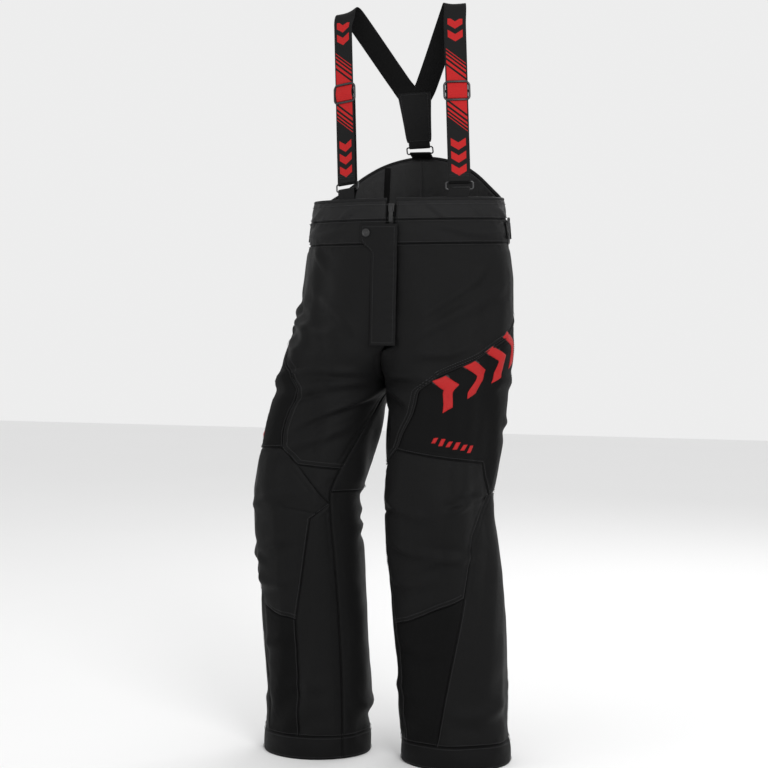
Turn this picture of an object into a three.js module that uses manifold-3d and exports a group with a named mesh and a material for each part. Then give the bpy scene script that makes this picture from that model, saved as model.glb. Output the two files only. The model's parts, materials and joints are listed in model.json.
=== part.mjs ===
// Insulated snow trousers with a high back and Y-back elastic suspenders, standing as if worn.
// Millimetres, +Z up. The wearer faces -Y and the wearer's left is +X. The hems rest on z = 0.
import * as THREE from "three";
import { mergeVertices } from "three/addons/utils/BufferGeometryUtils.js";
import Module from "manifold-3d";

const wasm = await Module();
wasm.setup();

// ---- Driving sizes: heights, each measured from the landmark below it ----
const CALF_LENGTH = 494; // hem to knee
const THIGH_LENGTH = 196; // knee to crotch
const RISE = 264; // crotch to the waistband's lower seam
const WAISTBAND_HEIGHT = 43;
const UPPER_FRONT_HEIGHT = 36; // waistband to the front top edge
const BACK_EXTRA = 85; // how far the back stands above the front
const CUFF_HEIGHT = 43;

// ---- Driving sizes: half widths and half depths of the body and legs ----
const WAIST_WIDTH = 181;
const WAIST_DEPTH = 105;
const THIGH_WIDTH = 106;
const KNEE_WIDTH = 98;
const HEM_WIDTH = 101;
const HEM_DEPTH = 90;
const LEFT_STANCE = 110; // leg centre from the crotch plane, wearer's left
const RIGHT_STANCE = 130;
const WAIST_TILT = 0.013; // the waist rises towards the wearer's left

// ---- Driving sizes: fabrics, trims and fittings ----
const SHELL = 4; // shell and insulation together
const LINING = 1.8;
const LINING_DEPTH = 10.5; // outer face of the lining, inside the shell's outer face
const SEAM_GAP = 2.4; // kept from every panel edge
const CLEARANCE = 0.6; // between pieces that lie on each other
const WEB_WIDTH = 40;
const WEB_THICKNESS = 1.6;
const TAB_WIDTH = 30;
const WIRE = 2.6;
const ADJUSTER_HEIGHT = 36;
const ADJUSTER_RAIL = 2.6;
const FRONT_RING_HEIGHT = 16;
const BACK_RING_HEIGHT = 15;
const CHAIN_WIDTH = 6.4;
const CHAIN_THICKNESS = 2.4;
const SLIDER_WIDTH = 11;
const SLIDER_LENGTH = 15;
const PULL_LENGTH = 28;
const ZIP_SLOT = 9; // half width of the slot between the fronts
const PLACKET_WIDTH = 50;
const PLACKET_THICKNESS = 3;
const SNAP_DIAMETER = 15;
const SIDE_WEB_WIDTH = 30;
const EMBLEM_THICKNESS = 1.6;
const EMBLEM_LIFT = 2.4;
const STEP = 40; // longest side of a panel facet

// ---- Landmarks worked out from them ----
const KNEE_Z = CALF_LENGTH;
const CROTCH_Z = KNEE_Z + THIGH_LENGTH;
const BAND_LOW = CROTCH_Z + RISE;
const BAND_TOP = BAND_LOW + WAISTBAND_HEIGHT;
const FRONT_TOP = BAND_TOP + UPPER_FRONT_HEIGHT;
const BACK_TOP = FRONT_TOP + BACK_EXTRA;
const calf = (f) => CALF_LENGTH * f;
const thigh = (f) => KNEE_Z + THIGH_LENGTH * f;
const rise = (f) => CROTCH_Z + RISE * f;
const LEFT = 1;
const RIGHT = -1;
const SIDE_SEAM = 0.58; // place round a side: 0 centre front or inseam, 1 centre back or inseam

// A smooth curve through [height, value] pairs.
function through(pairs) {
  return (z) => {
    const last = pairs.length - 1;
    if (z <= pairs[0][0]) return pairs[0][1];
    if (z >= pairs[last][0]) return pairs[last][1];
    let i = 0;
    while (z > pairs[i + 1][0]) i++;
    const slope = (k) => {
      if (k === 0 || k === last) return 0;
      return (pairs[k + 1][1] - pairs[k - 1][1]) / (pairs[k + 1][0] - pairs[k - 1][0]);
    };
    const width = pairs[i + 1][0] - pairs[i][0];
    const t = (z - pairs[i][0]) / width;
    const rest = 1 - t;
    return (
      pairs[i][1] * (1 + 2 * t) * rest * rest +
      slope(i) * width * t * rest * rest +
      pairs[i + 1][1] * t * t * (3 - 2 * t) -
      slope(i + 1) * width * t * t * rest
    );
  };
}

// ---- The body's form: one oval per height and side ----
const crotchHalf = THIGH_WIDTH + 4;
const plane = through([[CROTCH_Z, -32], [rise(0.13), -28], [rise(0.34), -14], [rise(0.57), -4], [rise(0.8), 0]]);
const foreAft = through([
  [0, 0], [calf(0.3), 0], [calf(0.55), -12], [calf(0.77), -32], [KNEE_Z, -50], [thigh(0.29), -42],
  [thigh(0.59), -26], [thigh(0.88), -12], [CROTCH_Z, -8], [rise(0.2), 0],
]);
const halfDepth = through([
  [0, HEM_DEPTH], [calf(0.55), HEM_DEPTH + 2], [KNEE_Z, 95], [thigh(0.59), 108], [CROTCH_Z, 121],
  [rise(0.13), 125], [rise(0.34), 126], [rise(0.57), 117], [rise(0.8), WAIST_DEPTH + 7],
  [BAND_LOW, WAIST_DEPTH + 4], [BAND_TOP, WAIST_DEPTH + 2], [FRONT_TOP, WAIST_DEPTH - 2], [BACK_TOP, WAIST_DEPTH - 5],
]);
const halfWidth = through([
  [0, HEM_WIDTH], [calf(0.77), HEM_WIDTH], [KNEE_Z, KNEE_WIDTH], [thigh(0.29), KNEE_WIDTH + 4],
  [thigh(0.59), THIGH_WIDTH], [thigh(0.88), THIGH_WIDTH + 1], [CROTCH_Z, crotchHalf],
  [rise(0.13), crotchHalf + 11], [rise(0.34), crotchHalf + 39], [rise(0.57), WAIST_WIDTH - 10],
  [rise(0.8), WAIST_WIDTH + 5], [BAND_LOW, WAIST_WIDTH + 4], [BAND_TOP, WAIST_WIDTH],
  [FRONT_TOP, WAIST_WIDTH - 3], [BACK_TOP, WAIST_WIDTH - 5],
]);
// Half the angle, in degrees, that each side's oval gives up where the two meet on the body's middle plane.
const meeting = through([
  [CROTCH_Z, 90], [rise(0.13), 56], [rise(0.34), 25], [rise(0.57), 10], [rise(0.8), 3], [BAND_LOW, 0],
]);
const legCentre = {
  [LEFT]: through([
    [0, LEFT_STANCE + 15], [calf(0.3), LEFT_STANCE + 7], [calf(0.55), LEFT_STANCE + 3],
    [KNEE_Z, LEFT_STANCE - 1], [thigh(0.59), LEFT_STANCE], [thigh(0.88), LEFT_STANCE + 2], [CROTCH_Z, crotchHalf],
  ]),
  [RIGHT]: through([
    [0, RIGHT_STANCE + 16], [calf(0.55), RIGHT_STANCE + 19], [KNEE_Z, RIGHT_STANCE + 19],
    [thigh(0.29), RIGHT_STANCE + 10], [thigh(0.59), RIGHT_STANCE], [thigh(0.88), RIGHT_STANCE - 9],
    [CROTCH_Z, crotchHalf],
  ]),
};
const turnOut = {
  [LEFT]: through([[KNEE_Z, -8], [CROTCH_Z, 0]]),
  [RIGHT]: through([[KNEE_Z, 45], [thigh(0.55), 27], [CROTCH_Z, 0]]),
};

function centre(side, z) {
  if (z < CROTCH_Z) return legCentre[side](z);
  return halfWidth(z) * Math.sin(THREE.MathUtils.degToRad(meeting(z)));
}

// The angles, in radians from straight ahead, where a side starts and ends at a height.
function span(side, z) {
  const turn = THREE.MathUtils.degToRad(z < CROTCH_Z ? turnOut[side](z) : 0);
  const meet = THREE.MathUtils.degToRad(z < CROTCH_Z ? 90 : meeting(z));
  return [turn - meet, turn + Math.PI + meet];
}

// A point on the trousers' outer face. Above the crotch a place past 0 or 1 runs on round the other side.
// The wearer's right leg turns out, and its front panels lie further round than on the left.
const panelTurn = {
  [LEFT]: () => 0,
  [RIGHT]: through([
    [calf(0.9), 0], [KNEE_Z, 0.02], [thigh(0.35), 0.06], [thigh(0.8), 0.08], [rise(0.1), 0.075], [rise(0.3), 0],
  ]),
};

function onSkin(side, place, z) {
  if (z >= CROTCH_Z && place > 1) return onSkin(-side, 2 - place, z);
  if (z >= CROTCH_Z && place < 0) return onSkin(-side, -place, z);
  const [from, to] = span(side, z);
  const carry = place < SIDE_SEAM ? panelTurn[side](z) * Math.sin((Math.PI * place) / SIDE_SEAM) : 0;
  const angle = from + (to - from) * (place + carry);
  const out = Math.max(0, centre(side, z) + halfWidth(z) * Math.sin(angle));
  const x = plane(z) + side * out;
  const lift = WAIST_TILT * x * THREE.MathUtils.smoothstep(z, CROTCH_Z, BAND_LOW);
  return new THREE.Vector3(x, foreAft(z) - halfDepth(z) * Math.cos(angle), z + lift);
}

function skinNormal(side, place, z) {
  const d = 0.002;
  const along = onSkin(side, place + d, z).sub(onSkin(side, place - d, z));
  const up = onSkin(side, place, z + 1).sub(onSkin(side, place, z - 1));
  return along.cross(up).normalize().multiplyScalar(side);
}

// A point at an offset from the skin, positive outside.
function near(side, place, z, offset) {
  return onSkin(side, place, z).addScaledVector(skinNormal(side, place, z), offset);
}

// The place on the front that lies x from the centre front, x towards the side's own outer seam.
function frontPlace(side, x, z) {
  const [from, to] = span(side, z);
  const angle = Math.asin((x - side * plane(z) - centre(side, z)) / halfWidth(z));
  return (angle - from) / (to - from);
}

// ---- Makers ----
const group = new THREE.Group();

function add(name, geometry, look, parent = group) {
  const mesh = new THREE.Mesh(geometry, new THREE.MeshStandardMaterial(look));
  mesh.name = name;
  parent.add(mesh);
  return mesh;
}

const FABRIC = { color: 0x1b1b1d, roughness: 0.85, metalness: 0 };
const TEXTURED = { color: 0x131314, roughness: 0.9, metalness: 0 };
const LINING_LOOK = { color: 0x2a2a2c, roughness: 0.5, metalness: 0 };
const WEBBING = { color: 0x1d1d1e, roughness: 0.8, metalness: 0 };
const METAL = { color: 0x33343a, roughness: 0.35, metalness: 0.9 };
const PLASTIC = { color: 0x141415, roughness: 0.5, metalness: 0 };
const RED = { color: 0xb81f20, roughness: 0.7, metalness: 0 };

// Turns a box's vertices into a slab: shape(u, v, w) with u and v from 0 to 1 and w from 0, inside, to 1, outside.
function slab(columns, rows, shape, flipped = false) {
  const box = new THREE.BoxGeometry(1, 1, 1, columns, rows, 1);
  const positions = box.getAttribute("position");
  for (let i = 0; i < positions.count; i++) {
    const p = shape(positions.getX(i) + 0.5, positions.getY(i) + 0.5, positions.getZ(i) + 0.5);
    positions.setXYZ(i, p.x, p.y, p.z);
  }
  if (flipped) turnFaces(box);
  return box;
}

function turnFaces(geometry) {
  const order = geometry.getIndex().array;
  for (let i = 0; i < order.length; i += 3) [order[i + 1], order[i + 2]] = [order[i + 2], order[i + 1]];
}

// Millimetres round the side for one unit of place.
function girth(side, z) {
  return onSkin(side, 0.26, z).distanceTo(onSkin(side, 0.24, z)) * 50;
}

// How many facets each stretch of a net needs, and the vertex parameters along it.
function divisions(lengths) {
  const stops = [0];
  lengths.forEach((length, i) => {
    const cells = Math.max(1, Math.ceil(length / STEP));
    for (let k = 1; k <= cells; k++) stops.push(i + k / cells);
  });
  return stops;
}

// A garment panel: net is rows of [place, height], bottom row first, each row with as many points.
function panel(name, side, net, look = FABRIC, outside = 0, thickness = SHELL) {
  const flat = ([place, z]) => new THREE.Vector2(place * girth(side, z), z);
  const gap = (a, b) => flat(a).distanceTo(flat(b));
  const last = net[0].length - 1;
  const up = divisions(net.slice(1).map((row, i) => Math.max(...row.map((p, j) => gap(p, net[i][j])))));
  const along = divisions(
    net[0].slice(1).map((_, j) => Math.max(...net.map((row) => gap(row[j], row[j + 1])))),
  );
  const at = (s, t) => {
    const i = Math.min(net.length - 2, Math.floor(t));
    const j = Math.min(last - 1, Math.floor(s));
    const mix = (row) => [0, 1].map((k) => THREE.MathUtils.lerp(row[j][k], row[j + 1][k], s - j));
    const [low, high] = [mix(net[i]), mix(net[i + 1])];
    return [0, 1].map((k) => THREE.MathUtils.lerp(low[k], high[k], t - i));
  };
  const inward = (s, t, ds, dt, es, et) => {
    const edge = flat(at(s + ds, t + dt)).sub(flat(at(s - ds, t - dt))).normalize();
    const inside = flat(at(s + es, t + et)).sub(flat(at(s, t)));
    const across = new THREE.Vector2(-edge.y, edge.x);
    return across.dot(inside) < 0 ? across.negate() : across;
  };
  const spot = (s, t) => {
    const small = 0.02;
    const rows = net.length - 1;
    const pulls = [];
    const st = THREE.MathUtils.clamp(t, small, rows - small);
    const ss = THREE.MathUtils.clamp(s, small, last - small);
    if (s === 0) pulls.push(inward(s, st, 0, small, small, 0));
    if (s === last) pulls.push(inward(s, st, 0, small, -small, 0));
    if (t === 0) pulls.push(inward(ss, t, small, 0, 0, small));
    if (t === rows) pulls.push(inward(ss, t, small, 0, 0, -small));
    const [place, z] = at(s, t);
    if (!pulls.length) return [place, z];
    const pull = pulls.reduce((sum, p) => sum.add(p), new THREE.Vector2());
    if (pulls.length === 2) pull.divideScalar(Math.max(0.35, pull.lengthSq() / 2));
    return [place + (SEAM_GAP * pull.x) / girth(side, z), z + SEAM_GAP * pull.y];
  };
  const geometry = slab(
    along.length - 1,
    up.length - 1,
    (u, v, w) => {
      const s = along[Math.round(u * (along.length - 1))];
      const t = up[Math.round(v * (up.length - 1))];
      const [place, z] = spot(s, t);
      return near(side, place, z, outside - thickness * (1 - w));
    },
    side === RIGHT,
  );
  return add(name, geometry, look);
}

// A closed sleeve round one leg, between two heights.
function sleeve(name, side, low, high, look, outside, thickness) {
  const rows = Math.max(1, Math.round((high - low) / STEP));
  const profile = [];
  for (let i = 0; i <= rows; i++) profile.push(new THREE.Vector2(2, i / rows));
  for (let i = rows; i >= 0; i--) profile.push(new THREE.Vector2(1, i / rows));
  profile.push(new THREE.Vector2(2, 0));
  const around = Math.round((2 * Math.PI * HEM_WIDTH) / STEP);
  const ring = mergeVertices(bare(new THREE.LatheGeometry(profile, around)), 1e-6);
  const positions = ring.getAttribute("position");
  for (let i = 0; i < positions.count; i++) {
    const [x, y, z] = [positions.getX(i), positions.getY(i), positions.getZ(i)];
    const place = Math.atan2(z, x) / (2 * Math.PI) + 0.5;
    const offset = Math.hypot(x, z) > 1.5 ? outside : outside - thickness;
    const p = near(side, place, low + (high - low) * y, offset);
    positions.setXYZ(i, p.x, p.y, p.z);
  }
  if (side === LEFT) turnFaces(ring);
  return add(name, ring, look);
}

function bare(geometry) {
  geometry.deleteAttribute("normal");
  geometry.deleteAttribute("uv");
  return geometry;
}

// A strap of webbing along points, its width lying across the path and close to the x axis.
function ribbon(name, points, width, thickness, look, parent = group, across = new THREE.Vector3(1, 0, 0)) {
  const direction = (i) => {
    const a = points[Math.max(0, i - 1)];
    const b = points[Math.min(points.length - 1, i + 1)];
    return b.clone().sub(a).normalize();
  };
  const geometry = slab(1, points.length - 1, (u, v, w) => {
    const i = Math.round(v * (points.length - 1));
    const along = direction(i);
    const wide = Array.isArray(across) ? across[i] : across;
    const side = wide.clone().addScaledVector(along, -wide.dot(along)).normalize();
    const face = side.clone().cross(along);
    return points[i].clone().addScaledVector(side, (u - 0.5) * width).addScaledVector(face, (w - 0.5) * thickness);
  });
  return add(name, geometry, look, parent);
}

function solid(geometry) {
  const g = mergeVertices(bare(geometry), 1e-4);
  const mesh = { numProp: 3, vertProperties: g.attributes.position.array, triVerts: new Uint32Array(g.index.array) };
  return new wasm.Manifold(new wasm.Mesh(mesh));
}

function joined(geometries) {
  const mesh = geometries.map(solid).reduce((a, b) => a.add(b)).getMesh();
  return new THREE.BufferGeometry()
    .setAttribute("position", new THREE.BufferAttribute(mesh.vertProperties, 3))
    .setIndex(new THREE.BufferAttribute(mesh.triVerts, 1));
}

function block(width, depth, height, x, y, z) {
  return new THREE.BoxGeometry(width, depth, height).translate(x, y, z);
}

// A rectangular wire ring in the local xz plane, its top bar's centre at the origin.
function wireRing(inner, height) {
  const half = inner / 2 + WIRE;
  const outline = new THREE.Shape();
  outline.moveTo(-half, WIRE / 2).lineTo(-half, WIRE / 2 - height).lineTo(half, WIRE / 2 - height);
  outline.lineTo(half, WIRE / 2);
  const hole = new THREE.Path();
  hole.moveTo(-inner / 2, -WIRE / 2).lineTo(inner / 2, -WIRE / 2);
  hole.lineTo(inner / 2, 1.5 * WIRE - height).lineTo(-inner / 2, 1.5 * WIRE - height);
  outline.holes.push(hole);
  const ring = new THREE.ExtrudeGeometry(outline, { depth: WIRE, bevelEnabled: false });
  return ring.rotateX(Math.PI / 2).translate(0, WIRE / 2, 0);
}

// ---- Shell panels of one side ----
const SIDES = [["left", LEFT], ["right", RIGHT]];
const FLY_BOTTOM = rise(0.31);
for (const [word, side] of SIDES) {
  const edge = (z) => frontPlace(side, ZIP_SLOT, z);
  const thighInner = [0, thigh(0.26)];
  const thighMiddle = [0.11, thigh(0.31)];
  const kneePeak = [0.165, thigh(0.464)];
  const kneeOuter = [0.445, thigh(0.347)];
  const kneeSide = [0.505, calf(1.02)];
  const kneeWing = [0, calf(0.976)];
  const kneeNotch = [0.065, calf(0.921)];
  const kneeFlank = [0.41, calf(0.87)];
  const shinTop = [[0.135, calf(0.53)], [0.2, calf(0.553)], [0.365, calf(0.645)]];
  const shinHem = [[0.136, CUFF_HEIGHT], [0.19, CUFF_HEIGHT], [0.255, CUFF_HEIGHT]];
  const hipFront = [0.23, rise(0.114)];
  const hipTop = [0.55, rise(0.5)];

  panel(`front_thigh_panel_${word}`, side, [
    [thighInner, thighMiddle, kneePeak],
    [[0, thigh(0.7)], [0.1, thigh(0.75)], [0.205, thigh(0.8)]],
    [[0, rise(0.08)], [0.11, rise(0.1)], hipFront],
    [[0, FLY_BOTTOM - 12], [0.2, rise(0.31)], [0.39, rise(0.307)]],
    [[edge(FLY_BOTTOM), FLY_BOTTOM], [0.22, rise(0.37)], [0.44, rise(0.367)]],
    [[edge(rise(0.5)), rise(0.5)], [0.27, rise(0.5)], hipTop],
    [[edge(rise(0.56)), rise(0.56)], [0.29, rise(0.56)], [SIDE_SEAM, rise(0.56)]],
    [[edge(BAND_LOW), BAND_LOW], [0.29, BAND_LOW], [SIDE_SEAM, BAND_LOW]],
  ]);
  panel(`side_hip_panel_${word}`, side, [
    [kneeSide, [SIDE_SEAM, calf(1.02)]],
    [kneeOuter, [SIDE_SEAM, thigh(0.347)]],
    [kneePeak, [SIDE_SEAM, thigh(0.745)]],
    [[0.205, thigh(0.8)], [SIDE_SEAM, thigh(1)]],
    [hipFront, [SIDE_SEAM, rise(0.265)]],
    [[0.39, rise(0.307)], [SIDE_SEAM, rise(0.4)]],
    [[0.44, rise(0.367)], [SIDE_SEAM, rise(0.44)]],
    [hipTop, [SIDE_SEAM, rise(0.545)]],
  ], TEXTURED);
  panel(`seat_panel_${word}`, side, [
    [[SIDE_SEAM, calf(1.02)], [1, calf(1.02)]],
    [[SIDE_SEAM, thigh(0.347)], [1, thigh(0.26)]],
    [[SIDE_SEAM, thigh(0.745)], [1, thigh(0.7)]],
    [[SIDE_SEAM, thigh(1)], [1, rise(0.08)]],
    [[SIDE_SEAM, rise(0.265)], [1, rise(0.2)]],
    [[SIDE_SEAM, rise(0.4)], [1, rise(0.31)]],
    [[SIDE_SEAM, rise(0.545)], [1, rise(0.5)]],
    [[SIDE_SEAM, BAND_LOW], [1, BAND_LOW]],
  ]);
  panel(`knee_panel_${word}`, side, [
    shinTop,
    [kneeNotch, [0.22, calf(0.89)], kneeFlank],
    [kneeWing, [0.22, calf(1.01)], kneeSide],
    [thighMiddle, kneePeak, kneeOuter],
  ]);
  panel(`inner_knee_gusset_${word}`, side, [
    [[0, calf(0.992)], [0.014, calf(0.994)]],
    [thighInner, thighMiddle],
  ]);
  panel(`shin_panel_${word}`, side, [shinHem, shinTop]);
  panel(`outer_calf_panel_${word}`, side, [
    [shinHem[2], [SIDE_SEAM, CUFF_HEIGHT]],
    [shinTop[2], [SIDE_SEAM, calf(0.694)]],
    [kneeFlank, [SIDE_SEAM, calf(0.87)]],
    [kneeSide, [SIDE_SEAM, calf(1.02)]],
  ]);
  panel(`inner_calf_panel_${word}`, side, [
    [[0, CUFF_HEIGHT], shinHem[0]],
    [[0, calf(0.526)], shinTop[0]],
    [[0, calf(0.911)], kneeNotch],
    [[0, calf(0.958)], [0.022, calf(0.955)]],
  ]);
  panel(`back_calf_panel_${word}`, side, [
    [[SIDE_SEAM, CUFF_HEIGHT], [1, CUFF_HEIGHT]],
    [[SIDE_SEAM, calf(0.694)], [1, calf(0.694)]],
    [[SIDE_SEAM, calf(1.02)], [1, calf(1.02)]],
  ]);
  panel(`waistband_front_${word}`, side, [
    [[edge(BAND_LOW), BAND_LOW], [SIDE_SEAM, BAND_LOW]],
    [[edge(BAND_TOP), BAND_TOP], [SIDE_SEAM, BAND_TOP]],
  ]);
  panel(`upper_front_${word}`, side, [
    [[edge(BAND_TOP), BAND_TOP], [SIDE_SEAM, BAND_TOP]],
    [[edge(FRONT_TOP), FRONT_TOP], [SIDE_SEAM, FRONT_TOP]],
  ]);
  sleeve(`hem_cuff_${word}`, side, 0, CUFF_HEIGHT - SEAM_GAP, FABRIC, 0.5, SHELL);
  sleeve(`leg_lining_${word}`, side, CUFF_HEIGHT, thigh(0.86), LINING_LOOK, -LINING_DEPTH, LINING);
  panel(`body_lining_${word}`, side, [
    [[0.06, rise(0.08)], [0.5, rise(0.08)], [0.99, rise(0.08)]],
    [[edge(FLY_BOTTOM) + 0.05, rise(0.4)], [0.5, rise(0.4)], [0.995, rise(0.4)]],
    [[edge(BAND_TOP) + 0.05, BAND_TOP], [0.5, BAND_TOP], [0.995, BAND_TOP + 10]],
    [[edge(FRONT_TOP) + 0.05, FRONT_TOP - 32], [0.5, FRONT_TOP - 32], [0.995, BACK_TOP - 34]],
  ], LINING_LOOK, -LINING_DEPTH, LINING);
}

// ---- Back waistband and high back, each one piece across both sides ----
panel("waistband_back", LEFT, [
  [[SIDE_SEAM, BAND_LOW], [1, BAND_LOW], [2 - SIDE_SEAM, BAND_LOW]],
  [[SIDE_SEAM, BAND_TOP], [1, BAND_TOP], [2 - SIDE_SEAM, BAND_TOP]],
]);
panel("back_bib_panel", LEFT, [
  [SIDE_SEAM, 0.72, 0.86, 1, 1.14, 1.28, 2 - SIDE_SEAM].map((place) => [place, BAND_TOP]),
  [[SIDE_SEAM, 0], [0.72, 0.33], [0.86, 0.82], [1, 1], [1.14, 0.82], [1.28, 0.33], [2 - SIDE_SEAM, 0]].map(
    ([place, share]) => [place, FRONT_TOP + BACK_EXTRA * share],
  ),
]);

// ---- Zip: a straight line down the centre front, the slider at its top ----
const ZIP_TOP = FRONT_TOP - 6;
const ZIP_BOTTOM = FLY_BOTTOM + 16;
const frontY = (side, x, z) => onSkin(side, frontPlace(side, x, z), z).y;
const lineY = (z) => {
  const t = (z - ZIP_BOTTOM) / (ZIP_TOP - ZIP_BOTTOM);
  return THREE.MathUtils.lerp(frontY(LEFT, 0, ZIP_BOTTOM), frontY(LEFT, 0, ZIP_TOP), t);
};
const zip = new THREE.Group();
zip.position.set(0, lineY(ZIP_BOTTOM), ZIP_BOTTOM);
zip.rotation.x = -Math.atan2(lineY(ZIP_TOP) - lineY(ZIP_BOTTOM), ZIP_TOP - ZIP_BOTTOM);
group.add(zip);
const ZIP_LENGTH = ZIP_TOP - ZIP_BOTTOM;
const CHAIN_FACE = 2.2; // the chain's front face, inside the line
const plateBack = CHAIN_FACE - CLEARANCE;
const plateFront = plateBack - 1.6;
add(
  "zipper_chain",
  block(CHAIN_WIDTH, CHAIN_THICKNESS, ZIP_LENGTH, 0, CHAIN_FACE + CHAIN_THICKNESS / 2, ZIP_LENGTH / 2),
  PLASTIC,
  zip,
);
const tapeFace = CHAIN_FACE + CHAIN_THICKNESS + SHELL / 2 + 1.6;
const tapeWidth = 2 * ZIP_SLOT + 8;
add("zipper_tape", block(tapeWidth, 1.2, ZIP_LENGTH, 0, tapeFace + 0.6, ZIP_LENGTH / 2), WEBBING, zip);
const sliderZ = ZIP_LENGTH - SLIDER_LENGTH / 2;
const flange = (SLIDER_WIDTH - CHAIN_WIDTH) / 2 - CLEARANCE;
const bridge = 3.4;
add(
  "zipper_slider",
  joined([
    block(SLIDER_WIDTH, plateBack - plateFront, SLIDER_LENGTH, 0, (plateBack + plateFront) / 2, sliderZ),
    ...[-1, 1].map((s) =>
      block(
        flange, CHAIN_THICKNESS + CLEARANCE + 0.4, SLIDER_LENGTH,
        (s * (SLIDER_WIDTH - flange)) / 2, plateBack + (CHAIN_THICKNESS + CLEARANCE) / 2 - 0.2, sliderZ,
      ),
    ),
  ]),
  METAL,
  zip,
);
const pullTop = sliderZ + 1;
const pullBack = plateFront - 0.5;
add(
  "zipper_pull",
  joined([
    block(bridge, 1.4, 8, 0, pullBack - 0.7, pullTop - 4),
    block(7.5, 1.4, PULL_LENGTH - 7, 0, pullBack - 0.7, pullTop - 7 - (PULL_LENGTH - 7) / 2),
  ]),
  PLASTIC,
  zip,
);

// ---- Fly placket over the zip, hinged along its sewn edge, with a snap ----
const HINGE_X = 16;
const PLACKET_TOP = BAND_TOP - 7;
const PLACKET_FACE = 5.2 + PLACKET_THICKNESS; // its outer face, ahead of the zip's line
const placketEdge = (z) => {
  const narrow = THREE.MathUtils.smoothstep(z, BAND_LOW - 18, BAND_LOW + 10);
  return HINGE_X - 1 - PLACKET_WIDTH - narrow * 23;
};
const placketY = (x, z) => {
  const side = x < 0 ? RIGHT : LEFT;
  const back = frontY(side, Math.abs(x), z) - frontY(side, 0, z);
  return lineY(z) - PLACKET_FACE + Math.max(0, back);
};
add(
  "fly_placket",
  slab(4, 9, (u, v, w) => {
    const z = FLY_BOTTOM + (PLACKET_TOP - FLY_BOTTOM) * v;
    const x = THREE.MathUtils.lerp(placketEdge(z), HINGE_X - 1, u);
    return new THREE.Vector3(x, placketY(x, z) + PLACKET_THICKNESS * (1 - w), z);
  }),
  FABRIC,
);
const SNAP_X = -44;
const SNAP_Z = BAND_LOW + 20;
const disc = (diameter, height) => new THREE.CylinderGeometry(diameter / 2, diameter / 2, height, 20);
const CAP_HEIGHT = 2.4;
const capY = placketY(SNAP_X + SNAP_DIAMETER / 2, SNAP_Z) - CAP_HEIGHT / 2 - CLEARANCE - 0.4;
add("snap_cap", disc(SNAP_DIAMETER, CAP_HEIGHT), PLASTIC).position.set(SNAP_X, capY, SNAP_Z);
const studBack = frontY(RIGHT, -SNAP_X - 5, SNAP_Z) - 1;
const studFront = placketY(SNAP_X + 5, SNAP_Z) + PLACKET_THICKNESS + 2;
const stud = add("snap_stud", disc(10, studBack - studFront), METAL);
stud.position.set(SNAP_X, (studBack + studFront) / 2, SNAP_Z);

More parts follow.
